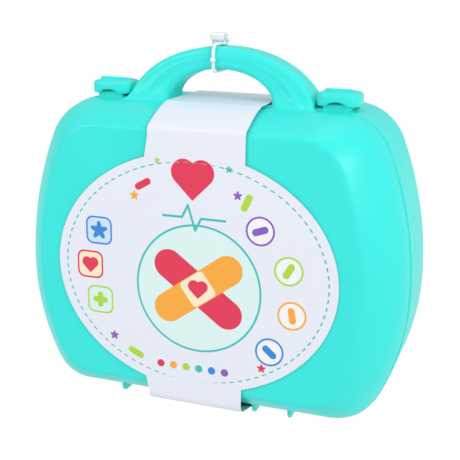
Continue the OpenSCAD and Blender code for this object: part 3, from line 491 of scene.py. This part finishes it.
for s in (-1, 1):
    middle, latch_x = s * HINGE_X, s * LATCH_X
    front_parts.append(drum((SEAM_Y, HINGE_Z), KNUCKLE_R, middle - KNUCKLE_HALF, middle + KNUCKLE_HALF))
    front_parts.append(prism(rail_front, middle - RAIL_HALF, middle + RAIL_HALF))
    rear_parts.append(prism(rail_rear, middle - RAIL_HALF, middle + RAIL_HALF))
    for x in (middle - OUTER_AT, middle + OUTER_AT):
        rear_parts.append(drum((SEAM_Y, HINGE_Z), KNUCKLE_R, x - OUTER_HALF, x + OUTER_HALF))
    for x in (s * 36, s * 61):
        front_parts.append(prism(front_fin, x - FIN_HALF, x + FIN_HALF))
        rear_parts.append(prism(rear_fin, x - FIN_HALF, x + FIN_HALF))
    front_parts.append(prism(catch, latch_x - CATCH_HALF, latch_x + CATCH_HALF))
    for x in (latch_x - EAR_AT, latch_x + EAR_AT):
        rear_parts.append(prism(ear, x - EAR_HALF, x + EAR_HALF))
    for x, z in ((s * 70, 22), (s * 88, 172)):
        front_parts.append(drum((x, z), 3.5, FRONT_Y + 1, -7.8, "y"))
make("front_shell_fittings", front_parts, case_plastic, "front_case", rounded=0.35)
make("rear_shell_fittings", rear_parts, case_plastic, "rear_case", rounded=0.35)


# ---------------------------------------------------------------------------------------------
# Latches: two crowned caps with a skirt, moulded in the shells' polypropylene, each turning on a pin
# between the ears. The skirt is cut out at the front for a fingertip, and a low bar helps the thumb.
# ---------------------------------------------------------------------------------------------
def plan(half_x, half_y, corner, count):
    """A box with round corners: signed powers of cosine and sine, scaled to the half sizes."""
    turn = np.linspace(0, 2 * np.pi, count, endpoint=False) + np.pi / count
    c, s = np.cos(turn), np.sin(turn)
    return half_x * np.sign(c) * np.abs(c) ** (2 / corner), half_y * np.sign(s) * np.abs(s) ** (2 / corner)


def block(low, high, edge, corner=5.0):
    """Round-cornered plans stacked from low to high, drawn in along a quarter circle at foot and top."""
    low, high, count = np.array(low, float), np.array(high, float), 40
    a = np.radians(np.linspace(0, 90, 6))
    draw, step = edge * (1 - np.sin(a)), edge * (1 - np.cos(a))
    draw, z = np.concatenate([draw, draw[::-1]]), np.concatenate([low[2] + step, high[2] - step[::-1]])
    half, mid = (high - low) / 2, (high + low) / 2
    rings = []
    for d, h in zip(draw, z):
        x, y = plan(half[0] - d, half[1] - d, corner, count)
        rings.append(np.stack([x + mid[0], y + mid[1], np.full(count, h)], -1))
    return skin(np.array(rings))


LATCH_HALF_W, LATCH_HALF_L, LATCH_TOP = 14.0, 13.5, CASE_TOP + 10.5
LATCH_EDGE, LATCH_WALL, LATCH_INNER_R = 2.6, 2.4, 1.6


def latch_cap():
    """Plans drawn in by an inset: from the crown over a rounded edge, down the skirt and up inside it.
    The skirt's foot is level, with a circular finger cut in front, and rises by a smooth step behind."""
    a = np.radians(np.linspace(0, 90, 9))
    columns = 96
    under = LATCH_TOP - 2.6
    crown_inset, crown_rise = np.array([13, 11, 9, 7, 5, 3.6]), np.array([1.0, 0.95, 0.8, 0.55, 0.25, 0])
    skirt_inset, skirt_down = [0, 0, 0.15, 0.5, 1.9, 2.25, 2.4, 2.4], [0.5, 0.93, 0.98, 1, 1, 0.98, 0.93, 0.5]
    edge_inset, edge_level = LATCH_EDGE * (1 - np.sin(a)), LATCH_TOP - 3 + LATCH_EDGE * np.cos(a)
    rows = [(d, np.full(columns, LATCH_TOP + up)) for d, up in zip(crown_inset, crown_rise)]
    rows += [(d, np.full(columns, level)) for d, level in zip(edge_inset, edge_level)]
    for n, (d, down) in enumerate(zip(skirt_inset, skirt_down)):
        x, y = plan(LATCH_HALF_W - d, LATCH_HALF_L - d, 3.6, columns)
        cut = np.sqrt(np.maximum(10.5**2 - x**2, 0)) - 7.7
        behind = np.clip((y + LATCH_Y + LATCH_HALF_L - 7.5) / 5.5, 0, 1)
        foot = CASE_TOP + 1.9 + np.where(y < 0, np.maximum(cut, 0), 0) + 4.1 * behind**2 * (3 - 2 * behind)
        shoulder = LATCH_TOP - 3 if n < 4 else under - LATCH_INNER_R
        rows.append((d, shoulder + (foot - shoulder) * down))
    inner = zip(LATCH_WALL + LATCH_INNER_R * (1 - np.cos(a[1:])), under - LATCH_INNER_R * (1 - np.sin(a[1:])))
    rows += [(d, np.full(columns, level)) for d, level in inner]
    rows += [(d, np.full(columns, under)) for d in (6, 9, 12.9)]
    grid = []
    for d, z in rows:
        x, y = plan(LATCH_HALF_W - d, LATCH_HALF_L - d, 3.6, columns)
        grid.append(np.stack([x, y + LATCH_Y + LATCH_HALF_L, z], -1))
    return skin(np.array(grid))


for s, name in ((-1, "left"), (1, "right")):
    cap = latch_cap()
    bar = block((-9, LATCH_Y + 6.8, LATCH_TOP - 0.5), (9, LATCH_Y + 9.6, LATCH_TOP + 2.1), 1.1)
    web = block((-7.6, PIVOT_Y - 2, PIVOT_Z), (7.6, PIVOT_Y + 2, LATCH_TOP - 2), 0.3)
    barrel = drum((PIVOT_Y, PIVOT_Z), 2.8, -8.1, 8.1)
    shape = [(points + (s * LATCH_X, 0, 0), faces) for points, faces in (cap, bar, web, barrel)]
    latch = make(name + "_latch_cap", shape, case_plastic, name + "_latch_body", crisp=45)
    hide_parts(name + "_latch")


# ---------------------------------------------------------------------------------------------
# Card sleeve: one printed strap of 0.4 mm board round the case, widened to an oval on the front. It is
# folded over the face's edges and lies loosely. It is parted here in the plane where the case opens.
# ---------------------------------------------------------------------------------------------
CARD = 0.4
OVAL = (96.0, 79.5, 101.0)  # half width, half height, middle above the ground
STRAP, STRAP_X = 32.6, 1.9  # half width, and how far the strap has slid to the right
STAND_OFF = 0.9  # from the case to the printed side
CARD_FACE, CARD_BACK, CARD_UNDER = FRONT_Y - STAND_OFF, REAR_Y + STAND_OFF, LIFT - STAND_OFF
FOLD_TOP = CASE_TOP + 1.5  # where the strap passes through the hand opening


def eased(path):
    """A polyline sampled evenly and averaged over a short reach, so that each fold is a small curve."""
    radius, step = 2.2, 0.5
    path = np.asarray(path, float)
    along = np.concatenate([[0], np.cumsum(np.linalg.norm(np.diff(path, axis=0), axis=1))])
    even = np.linspace(0, along[-1], int(along[-1] / step) + 1)
    fine = np.stack([np.interp(even, along, path[:, k]) for k in (0, 1)], -1)
    reach = int(radius / step)
    padded = np.concatenate([fine[0] * 2 - fine[reach:0:-1], fine, fine[-1] * 2 - fine[-2:-reach - 2:-1]])
    weight = np.hanning(2 * reach + 3)[1:-1]
    weight /= weight.sum()
    return np.stack([np.convolve(padded[:, k], weight, "valid") for k in (0, 1)], -1)


def card_sheet(path, left, right, lift):
    """Rows follow the [y, z] path; each runs from left to right on the printed side and back on the plain
    side, one card thickness in. lift(x, z) gives how far the card stands off."""
    run = np.gradient(path, axis=0)
    run /= np.linalg.norm(run, axis=1)[:, None]
    normal = np.stack([-run[:, 1], run[:, 0]], -1)
    v = np.concatenate([np.linspace(0, 1, 41), np.linspace(1, 0, 41)])
    x = left[:, None] + (right - left)[:, None] * v
    inside = np.repeat([0.0, CARD], 41)
    off = lift(x, path[:, 1][:, None]) - inside
    y = path[:, 0][:, None] + normal[:, 0][:, None] * off
    z = path[:, 1][:, None] + normal[:, 1][:, None] * off
    return np.stack([x, y, z], -1)


t = np.array([30, 20, 12, 6, 2.5])
off_bevel = np.array([2.5, 2.2, 1.9, 1.7, 1.7])
over_top = list(zip(FRONT_Y + t, CASE_TOP - COLLAR_STEP - INSETS[1] * front_share(t) + off_bevel))
t = np.array([22.0, 27, 32, 37])
under_foot = list(zip(FRONT_Y + t, LIFT - 0.2 + INSETS[2] * front_share(t)))
front_path = [(SEAM_Y - 0.2, FOLD_TOP), (FRONT_Y + 38.5, CASE_TOP + STAND_OFF)] + over_top
front_path += [(CARD_FACE + 0.2, CASE_TOP - 11.4), (CARD_FACE, CASE_TOP - 17), (CARD_FACE, LIFT + 12.5)]
front_path += [(FRONT_Y + 0.4, LIFT + 9.5), (FRONT_Y + 4, LIFT + 7.5)] + under_foot
front_path = eased(front_path + [(FRONT_Y + 40.5, CARD_UNDER), (SEAM_Y - 0.2, CARD_UNDER)])
flat = np.abs(front_path[:, 0] - CARD_FACE) < 0.01
first, last = np.flatnonzero(flat)[[0, -1]]
# on the face, rows that lie closer together towards the ends of the oval
arc = np.radians(np.linspace(69.9, -69.9, 91))
oval_rows = np.stack([np.full(91, CARD_FACE), OVAL[2] + OVAL[1] * np.sin(arc)], -1)
front_path = np.concatenate([front_path[:first + 1:2], oval_rows, front_path[last::2]])
across_z = (front_path[:, 1] - OVAL[2]) / OVAL[1]
on_face = np.abs(front_path[:, 0] - CARD_FACE) < 0.01
oval_half = OVAL[0] * np.sqrt(np.maximum(0, 1 - across_z**2)) * on_face
front_edges = np.minimum(STRAP_X - STRAP, -oval_half), np.maximum(STRAP_X + STRAP, oval_half)


def oval_lift(x, z):
    """The oval's free sides stand off by a square law, and the strap bows out slightly between its folds."""
    side = np.clip((np.abs(x) - 40) / (OVAL[0] - 40), 0, 1)
    return 0.45 * side**2 + 0.12 * np.clip(1 - np.abs(z - 100) / 90, 0, 1)


t = np.array([20.0, 14, 8, 4, 1.5])
rear_top = CASE_TOP - INSETS[1] * REAR_SHARE
rear_path = [(SEAM_Y + 0.2, FOLD_TOP)] + list(zip(REAR_Y - t, CASE_TOP - INSETS[1] * rear_share(t) + 1.5))
rear_path += [(CARD_BACK - 0.2, rear_top + 0.6), (CARD_BACK, rear_top - 5), (CARD_BACK, LIFT + 16.5)]
t = np.array([0.0, 1.5, 4, 8, 12, 16])
rear_path += list(zip(REAR_Y - t + 0.25, LIFT + INSETS[2] * rear_share(t) - 1.0))
rear_path = eased(rear_path + [(SEAM_Y + 6.6, CARD_UNDER)])[::2]
rear_edges = np.full(len(rear_path), STRAP_X - STRAP), np.full(len(rear_path), STRAP_X + STRAP)

card = Look("printed_card", Specular_IOR_Level=0.4, Coat_Weight=0.25, Coat_Roughness=0.22)
cx, cz = card.x * 1000, card.z * 1000


def disc(x, z, radius):
    """Distance outside a circle on the print."""
    return ((cx - x) * (cx - x) + (cz - z) * (cz - z)).root() - radius


def slab(x, z, width, height, radius, turn=0):
    """Distance outside a box with round corners, turned in degrees about its middle."""
    c, s = math.cos(math.radians(turn)), math.sin(math.radians(turn))
    u = (abs((cx - x) * c + (cz - z) * s) - (width / 2 - radius)).most(0)
    v = (abs((cz - z) * c - (cx - x) * s) - (height / 2 - radius)).most(0)
    return (u * u + v * v).root() - radius


def stroke(a, b, width):
    """Distance outside a line with round ends."""
    dx, dz = b[0] - a[0], b[1] - a[1]
    turn = math.degrees(math.atan2(dz, dx))
    return slab((a[0] + b[0]) / 2, (a[1] + b[1]) / 2, math.hypot(dx, dz) + width, width, width / 2, turn)


def heart(x, z, size):
    """Distance outside a square on its corner with a circle on each upper side."""
    k = 0.3536 * size
    lobes = disc(x - k, z + k, size / 2).least(disc(x + k, z + k, size / 2))
    return slab(x, z, size, size, 0.4, 45).least(lobes)


def star(x, z, radius):
    """Distance outside a soft five-pointed star."""
    turn = (cx - x).maths("ARCTAN2", cz - z)
    return disc(x, z, 0) - ((turn * 5).maths("COSINE") * 0.24 + 0.76) * radius


RED, ORANGE, LIME = (0.80, 0.03, 0.09), (0.98, 0.42, 0.04), (0.45, 0.72, 0.05)
BLUE, VIOLET, SEA = (0.03, 0.25, 0.75), (0.27, 0.10, 0.55), (0.04, 0.55, 0.52)
PALE, CREAM, SKY, MIST = (0.74, 0.93, 0.92), (0.99, 0.86, 0.62), (0.62, 0.80, 0.96), (0.93, 0.94, 0.96)
PAPER = (0.825, 0.855, 0.95)
SOFT = 0.14  # half of the blurred edge of the print
MEDAL = (4, 92)  # middle of the round picture: two crossed plasters with a heart
motifs = [
    (disc(*MEDAL, 43), SEA), (disc(*MEDAL, 41.6), PALE),
    (slab(*MEDAL, 70, 20, 10, -36), RED), (slab(*MEDAL, 70, 20, 10, 36), ORANGE),
    (slab(*MEDAL, 19, 19, 3, 36), CREAM), (heart(4, 91, 8), RED), (heart(0, 162, 17), RED),
]
pulse_line = [(-20, 139), (-7, 139), (-3, 147), (2, 131), (6, 139), (22, 139)]
motifs += [(stroke(a, b, 1.6), SEA) for a, b in zip(pulse_line, pulse_line[1:])]
# three square tiles to the left of the medal, with a star, a heart and a plus
for n, (ink, soft) in enumerate(((BLUE, SKY), (RED, CREAM), (LIME, PALE))):
    x, z = (-66, -73, -66)[n], 124 - 24 * n
    motifs += [(slab(x, z, 19, 19, 5), ink), (slab(x, z, 16.6, 16.6, 4), soft)]
motifs += [(star(-66, 124, 6.4), BLUE), (heart(-73, 99, 7), RED)]
motifs += [(slab(-66, 76, 4, 11, 2), LIME), (slab(-66, 76, 11, 4, 2), LIME)]
# four round buttons with a capsule, along an arc to its right
for n, ink in enumerate((VIOLET, LIME, ORANGE, BLUE)):
    a = math.radians(50 - 30 * n)
    at = MEDAL[0] + 64 * math.cos(a), MEDAL[1] + 56 * math.sin(a)
    motifs += [(disc(*at, 9.5), ink), (disc(*at, 8.2), MIST), (slab(*at, 11, 4.6, 2.3, 20 + 40 * n), ink)]
motifs += [(disc(-22 + 9 * n, 37, 2.6), ink) for n, ink in enumerate((RED, ORANGE, LIME, SEA, BLUE, VIOLET))]
for x, z, size, ink in (
    (-40, 150, 3.2, ORANGE), (30, 156, 3.0, VIOLET), (-56, 52, 3.2, VIOLET),
    (48, 44, 3.0, RED), (24, 172, 2.4, SEA), (-24, 174, 2.2, LIME),
):
    motifs.append((star(x, z, size), ink))
for x, z, turn, ink in ((-34, 158, 30, RED), (36, 152, 65, LIME), (-40, 42, -25, LIME)):
    motifs.append((slab(x, z, 12, 4.6, 2.3, turn), ink))
printed = card.tint(card.grain(60, 3), PAPER, tuple(min(1, c * 1.02) for c in PAPER))
for distance, ink in motifs:
    printed = card.tint(distance.fade(SOFT, -SOFT), printed, ink)
# a dashed line inside the oval's edge, left out where the strap crosses it
turn = cx.maths("ARCTAN2", (cz - OVAL[2]) * 1.2)
dash = (turn * 92).maths("SINE").fade(-0.3, 0.0) * cz.fade(176, 172) * cz.fade(27, 31)
u, v = cx / 90, (cz - OVAL[2]) / 73.5
frame_line = ((u * u + v * v).root() - 1) * 80
printed = card.tint((abs(frame_line) - 0.45).fade(SOFT, -SOFT) * dash, printed, SEA)
# only the front face is printed; the folds and the rear of the strap are plain
on_front = card.y.fade(-0.0500, -0.0515)
card.wear(Base_Color=card.tint(on_front, PAPER, printed))
card.wear(Roughness=card.grain(300, 2) * 0.1 + 0.36)
card.bump(card.grain(900, 3) + card.grain(26, 1) * 3, 0.00004)
board = Look("bare_board")
board.wear(Base_Color=board.tint(board.grain(700, 4), (0.60, 0.60, 0.60), (0.72, 0.71, 0.70)))
board.wear(Roughness=board.grain(200, 2) * 0.1 + 0.8)
board.bump(board.grain(1600, 4), 0.00008)

for name, path, edges, lift, body, node in (
    ("card_sleeve_front", front_path, front_edges, oval_lift, "front_case", "sleeve_front"),
    ("card_sleeve_rear", rear_path, rear_edges, lambda x, z: 0 * x, "rear_case", "sleeve_rear"),
):
    rows = card_sheet(path, *edges, lift)
    sleeve = make(name, [skin(rows)], [card, board], body, crisp=40)
    # faces turned towards the middle of the case show the bare board
    faces = sleeve.data.polygons
    centre, facing = np.zeros(3 * len(faces)), np.zeros(3 * len(faces))
    faces.foreach_get("center", centre)
    faces.foreach_get("normal", facing)
    outward = (centre.reshape(-1, 3) - (0, 0, 0.1)) * (0, 1, 1)
    bare = np.einsum("ij,ij->i", outward, facing.reshape(-1, 3)) < 0
    faces.foreach_set("material_index", bare.astype(np.int32))
    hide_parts(node)


# ---------------------------------------------------------------------------------------------
# Tie: a moulded polyethylene loop with a bead and a locking head, closed round both handle halves.
# The strand and bead are the front half, the head and the strand behind it the rear half.
# ---------------------------------------------------------------------------------------------
tie_plastic = Look("tie_plastic", Subsurface_Weight=0.5, Subsurface_Scale=1.0, IOR=1.5)
tie_plastic.wear(Subsurface_Radius=(0.0025, 0.003, 0.0035))
tie_plastic.wear(Base_Color=tie_plastic.tint(tie_plastic.grain(60, 2), (0.90, 0.97, 1.0), (0.95, 0.99, 1.0)))
tie_plastic.wear(Roughness=tie_plastic.grain(500, 2) * 0.12 + 0.24)
tie_plastic.bump(tie_plastic.grain(300, 2), 0.00006)
TIE_X, TIE_R = -4.0, 1.1
TIE_REACH, TIE_TOP, TIE_FOOT = 13.5, 243.5, 226.0  # in front of the seam, over the handle, in the opening


def strand(start, side):
    """Circles carried along a half loop: over the top of one handle half, down its face and into the
    hand opening, with a quarter circle at both bends."""
    upper_bend = arc_points((TIE_REACH - 5, TIE_TOP - 5), 5, 90, 0, 12)
    lower_bend = arc_points((TIE_REACH - 4, TIE_FOOT + 4), 4, 0, -90, 12)
    path = np.concatenate([[[start, TIE_TOP]], upper_bend, lower_bend, [[0.2, TIE_FOOT]]])
    run = np.gradient(path, axis=0)
    run /= np.linalg.norm(run, axis=1)[:, None]
    turn = np.linspace(0, 2 * np.pi, 16, endpoint=False)
    u, v = TIE_R * np.cos(turn), TIE_R * np.sin(turn)
    x = np.broadcast_to(TIE_X + u, (len(path), 16))
    y = SEAM_Y + side * (path[:, :1] - v * run[:, 1:])
    return skin(np.stack([x, y, path[:, 1:] + v * run[:, :1]], -1))


def bead(centre, radius):
    """Circles of radius sin a at height 1.1 cos a: a ball drawn out a little along the strand."""
    a = np.radians(np.linspace(4, 176, 15))[:, None]
    turn = np.linspace(0, 2 * np.pi, 20, endpoint=False)
    ball = np.stack([np.sin(a) * np.cos(turn), np.sin(a) * np.sin(turn), 1.1 * np.cos(a) + 0 * turn], -1)
    return skin(ball * radius + centre)


loop = [strand(0.2, -1), bead((TIE_X, SEAM_Y - TIE_REACH - 0.7, 233.75), 1.8)]
tie_front = make("tie_strand_and_bead", loop, tie_plastic, "front_case", crisp=60)
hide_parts("tie_strand")
# the head: its foot, its crown, the ridge round it and the stub that the strand runs into
head = [block(low, high, edge, corner) for low, high, edge, corner in (
    ((-11, 6.2, 242.3), (-0.8, 15.2, 247), 1.2, 5),
    ((-11.4, 4.6, 244.7), (-1, 14, 250.5), 1.8, 4.2),
    ((-11.7, 5.8, 246.2), (-0.7, 12.8, 249), 0.5, 6),
    ((-1.6, 7.6, 244.8), (2.2, 11, 248.2), 1.2, 2.6),
)]
tie_rear = make("tie_head_and_loop", head + [strand(5, 1)], tie_plastic, "rear_case", crisp=60)
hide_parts("tie_head")


# ---------------------------------------------------------------------------------------------
# Trays: a white worktop with a basin and tool places, set into the front shell, and two red side trays
# stored flat under it. All are polystyrene mouldings; each keeps the shape of its own plain piece.
# ---------------------------------------------------------------------------------------------
WHITE = (0.80, 0.82, 0.84)


def finished(node, look, rounded=0.5):
    """A copy of one plain piece with its triangles merged and its sharper edges rounded."""
    source = nodes[node].data
    points = np.empty(3 * len(source.vertices), np.float32)
    source.vertices.foreach_get("co", points)
    corners = np.empty(len(source.loops), np.int32)
    source.loops.foreach_get("vertex_index", corners)
    parts = [(points.reshape(-1, 3) / MM, corners.reshape(-1, 3).tolist())]
    piece = make(node + "_moulded", parts, look, nodes[node]["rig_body"], 35, rounded, turn=False)
    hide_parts(node)


white_plastic = moulded("white_plastic", WHITE, 0.34)
red_plastic = moulded("red_plastic", (0.66, 0.018, 0.030), 0.28)
finished("worktop_tray", white_plastic)
finished("left_side_tray", red_plastic)
finished("right_side_tray", red_plastic)

# ---------------------------------------------------------------------------------------------
# Rear fittings: a red hook bar and shelf, and a white half-round badge whose raised plus is printed
# teal. All are polystyrene mouldings fixed to the rear shell's wall.
# ---------------------------------------------------------------------------------------------
finished("hook_bar", red_plastic)
finished("shelf", red_plastic)
badge_plastic = moulded("badge_plastic", WHITE, 0.34)
raised = (badge_plastic.y * 1000).fade(46.65, 46.45)
badge_plastic.wear(Base_Color=badge_plastic.tint(raised, WHITE, (0.03, 0.50, 0.48)))
finished("badge", badge_plastic, 0.3)

# ---------------------------------------------------------------------------------------------
# Label: a paper sheet glued to the rear shell's wall, with a coloured border, plain chart rows on
# its left half and a zigzag line on its right half.
# ---------------------------------------------------------------------------------------------
label_paper = Look("label_paper")
lx, lz = label_paper.x * 1000, label_paper.z * 1000 - 118
border = (abs(lx) - 53).most(abs(lz) - 21).fade(-0.2, 0.2)
row = (lz * (2 * math.pi / 6.4)).maths("SINE").fade(0.55, 0.75)
chart = (abs(lx + 24) - 21).most(abs(lz) - 16).fade(0.2, -0.2) * row
zigzag = lz - lx.maths("PINGPONG", 4.0) * 2 + 4
pulse = (abs(zigzag) - 0.6).fade(0.3, -0.3) * (abs(lx - 25) - 21).fade(0.2, -0.2)
paper = label_paper.tint(label_paper.grain(500, 3), (0.74, 0.76, 0.78), (0.82, 0.83, 0.84))
for share, ink in ((border, (0.04, 0.45, 0.62)), (chart, (0.30, 0.34, 0.40)), (pulse, (0.75, 0.05, 0.08))):
    paper = label_paper.tint(share, paper, ink)
label_paper.wear(Base_Color=paper, Roughness=label_paper.grain(300, 2) * 0.1 + 0.5)
label_paper.bump(label_paper.grain(900, 3), 0.00003)
finished("lid_label", label_paper, 0.0)

# ---------------------------------------------------------------------------------------------
# Scissors and forceps: two blunt halves each, moulded in blue polystyrene, that turn on a white rivet.
# They hang by one ring on the hooks in the rear shell.
# ---------------------------------------------------------------------------------------------
blue_plastic = moulded("blue_plastic", (0.015, 0.15, 0.60), 0.28)
for tool in ("scissors", "forceps"):
    finished(tool + "_left", blue_plastic)
    finished(tool + "_right", blue_plastic)
    finished(tool + "_rivet", white_plastic, 0.3)

# ---------------------------------------------------------------------------------------------
# Syringe: a clear polystyrene barrel printed with a scale of dark strokes, and the red plunger that
# slides in it. It lies in its place on the worktop.
# ---------------------------------------------------------------------------------------------
clear_plastic = Look("clear_plastic", Transmission_Weight=0.9, IOR=1.49)
SCALE_STEP = 0.005
tick = (clear_plastic.x * (2 * math.pi / SCALE_STEP)).maths("SINE")
marks = tick.fade(0.93, 0.97) * clear_plastic.z.fade(0.0455, 0.0462) * clear_plastic.y.fade(-0.012, -0.0105)
clear_plastic.wear(Base_Color=clear_plastic.tint(marks, (0.93, 0.97, 0.99), (0.02, 0.05, 0.12)))
clear_plastic.wear(Roughness=clear_plastic.grain(200, 2) * 0.06 + 0.05)
clear_plastic.bump(clear_plastic.grain(40, 1), 0.00005)
finished("syringe_barrel", clear_plastic, 0.2)
finished("syringe_plunger", red_plastic, 0.3)

# ---------------------------------------------------------------------------------------------
# Mirror, reflex hammer and tongs: single mouldings in yellow and teal polystyrene. The mirror is a
# disc of hot-stamped metal foil on plastic, set into the end of its handle. All lie on the worktop.
# ---------------------------------------------------------------------------------------------
yellow_plastic = moulded("yellow_plastic", (0.92, 0.56, 0.015), 0.30)
teal_tool_plastic = moulded("teal_tool_plastic", (0.02, 0.56, 0.55), 0.30)
finished("mirror_handle", yellow_plastic, 0.4)
finished("reflex_hammer", yellow_plastic, 0.6)
finished("tongs", teal_tool_plastic)
mirror_foil = Look("mirror_foil", Metallic=1.0)
mirror_foil.wear(Base_Color=mirror_foil.tint(mirror_foil.grain(90, 2), WHITE, (0.90, 0.91, 0.92)))
mirror_foil.wear(Roughness=mirror_foil.grain(120, 3) * 0.10 + 0.04)
mirror_foil.bump(mirror_foil.grain(70, 2), 0.00004)
finished("mirror_glass", mirror_foil, 0.2)

# ---------------------------------------------------------------------------------------------
# Bottle: blow moulded in white polyethylene, with a blue band and a pale stripe printed round it, and
# closed by a blue moulded cap. It stands on the shelf.
# ---------------------------------------------------------------------------------------------
bottle_plastic = moulded("bottle_plastic", WHITE, 0.3)
height = bottle_plastic.z * 1000
band = height.fade(71.8, 72.1) * height.fade(94.1, 93.8)
stripe = height.fade(78.9, 79.2) * height.fade(86.6, 86.3)
banded = bottle_plastic.tint(band, WHITE, (0.05, 0.42, 0.80))
bottle_plastic.wear(Base_Color=bottle_plastic.tint(stripe, banded, (0.86, 0.92, 0.97)))
finished("bottle_body", bottle_plastic, 0.0)
finished("bottle_cap", blue_plastic, 0.3)

# ---------------------------------------------------------------------------------------------
# Thermometer: a white moulded body with a grey-green display window printed on its flat end, and a
# blue tip pressed on. It lies upright at the left of the worktop.
# ---------------------------------------------------------------------------------------------
thermometer_plastic = moulded("thermometer_plastic", WHITE, 0.3)
tx, tz = thermometer_plastic.x * 1000 + 100, thermometer_plastic.z * 1000 - 149
window = (abs(tx) - 3.4).most(abs(tz) - 8).fade(0.2, -0.2) * (thermometer_plastic.y * 1000).fade(-13.0, -12.4)
thermometer_plastic.wear(Base_Color=thermometer_plastic.tint(window, WHITE, (0.20, 0.27, 0.22)))
finished("thermometer_body", thermometer_plastic, 0.4)
finished("thermometer_tip", blue_plastic, 0.4)

# ---------------------------------------------------------------------------------------------
# Stethoscope: a blue headset and a red chest piece, one moulding each, stored under the worktop. The
# soft tube between them is left out.
# ---------------------------------------------------------------------------------------------
finished("headset", blue_plastic, 0.0)
finished("chest_piece", red_plastic, 1.2)

# ---------------------------------------------------------------------------------------------
# Pins of the hinges and latches: lengths of drawn steel wire, run through the knuckles and through
# the latch ears.
# ---------------------------------------------------------------------------------------------
pin_steel = Look("pin_steel", Metallic=1.0)
pin_steel.wear(Base_Color=pin_steel.tint(pin_steel.grain(300, 3), (0.52, 0.53, 0.55), (0.66, 0.67, 0.69)))
pin_steel.wear(Roughness=pin_steel.grain(900, 3) * 0.16 + 0.22)
pin_steel.bump(pin_steel.grain(1800, 2), 0.00003)
for pin in ("left_hinge_pin", "right_hinge_pin", "left_latch_pin", "right_latch_pin"):
    finished(pin, pin_steel, 0.25)

# ---------------------------------------------------------------------------------------------
# Floor: a white sweep some way under the case, low enough for the opened front half to hang free. It
# gives off some light of its own, so that it runs into the white room without an edge.
# ---------------------------------------------------------------------------------------------
sweep = Look("white_sweep", Specular_IOR_Level=0.1, Emission_Color=(1, 1, 1))
shown = sweep.add("ShaderNodeLightPath", {}, {})
sweep.wear(Emission_Strength=shown * 0.26 + 0.68)
sweep.wear(Base_Color=sweep.tint(sweep.grain(3, 2), (0.10, 0.10, 0.10), (0.12, 0.12, 0.12)))
sweep.wear(Roughness=sweep.grain(30, 2) * 0.1 + 0.8)
FLOOR_Z, FLOOR_HALF = -0.058, 4.0
x, y = np.meshgrid(np.linspace(-FLOOR_HALF, FLOOR_HALF, 9), np.linspace(-FLOOR_HALF, FLOOR_HALF, 9))
points, faces = skin(np.stack([x, y, np.full(x.shape, FLOOR_Z)], -1), False, False, False)
mesh = bpy.data.meshes.new("floor")
mesh.from_pydata(points.tolist(), [], faces)
mesh.materials.append(sweep.material)
floor = bpy.data.objects.new("floor", mesh)
scene.collection.objects.link(floor)
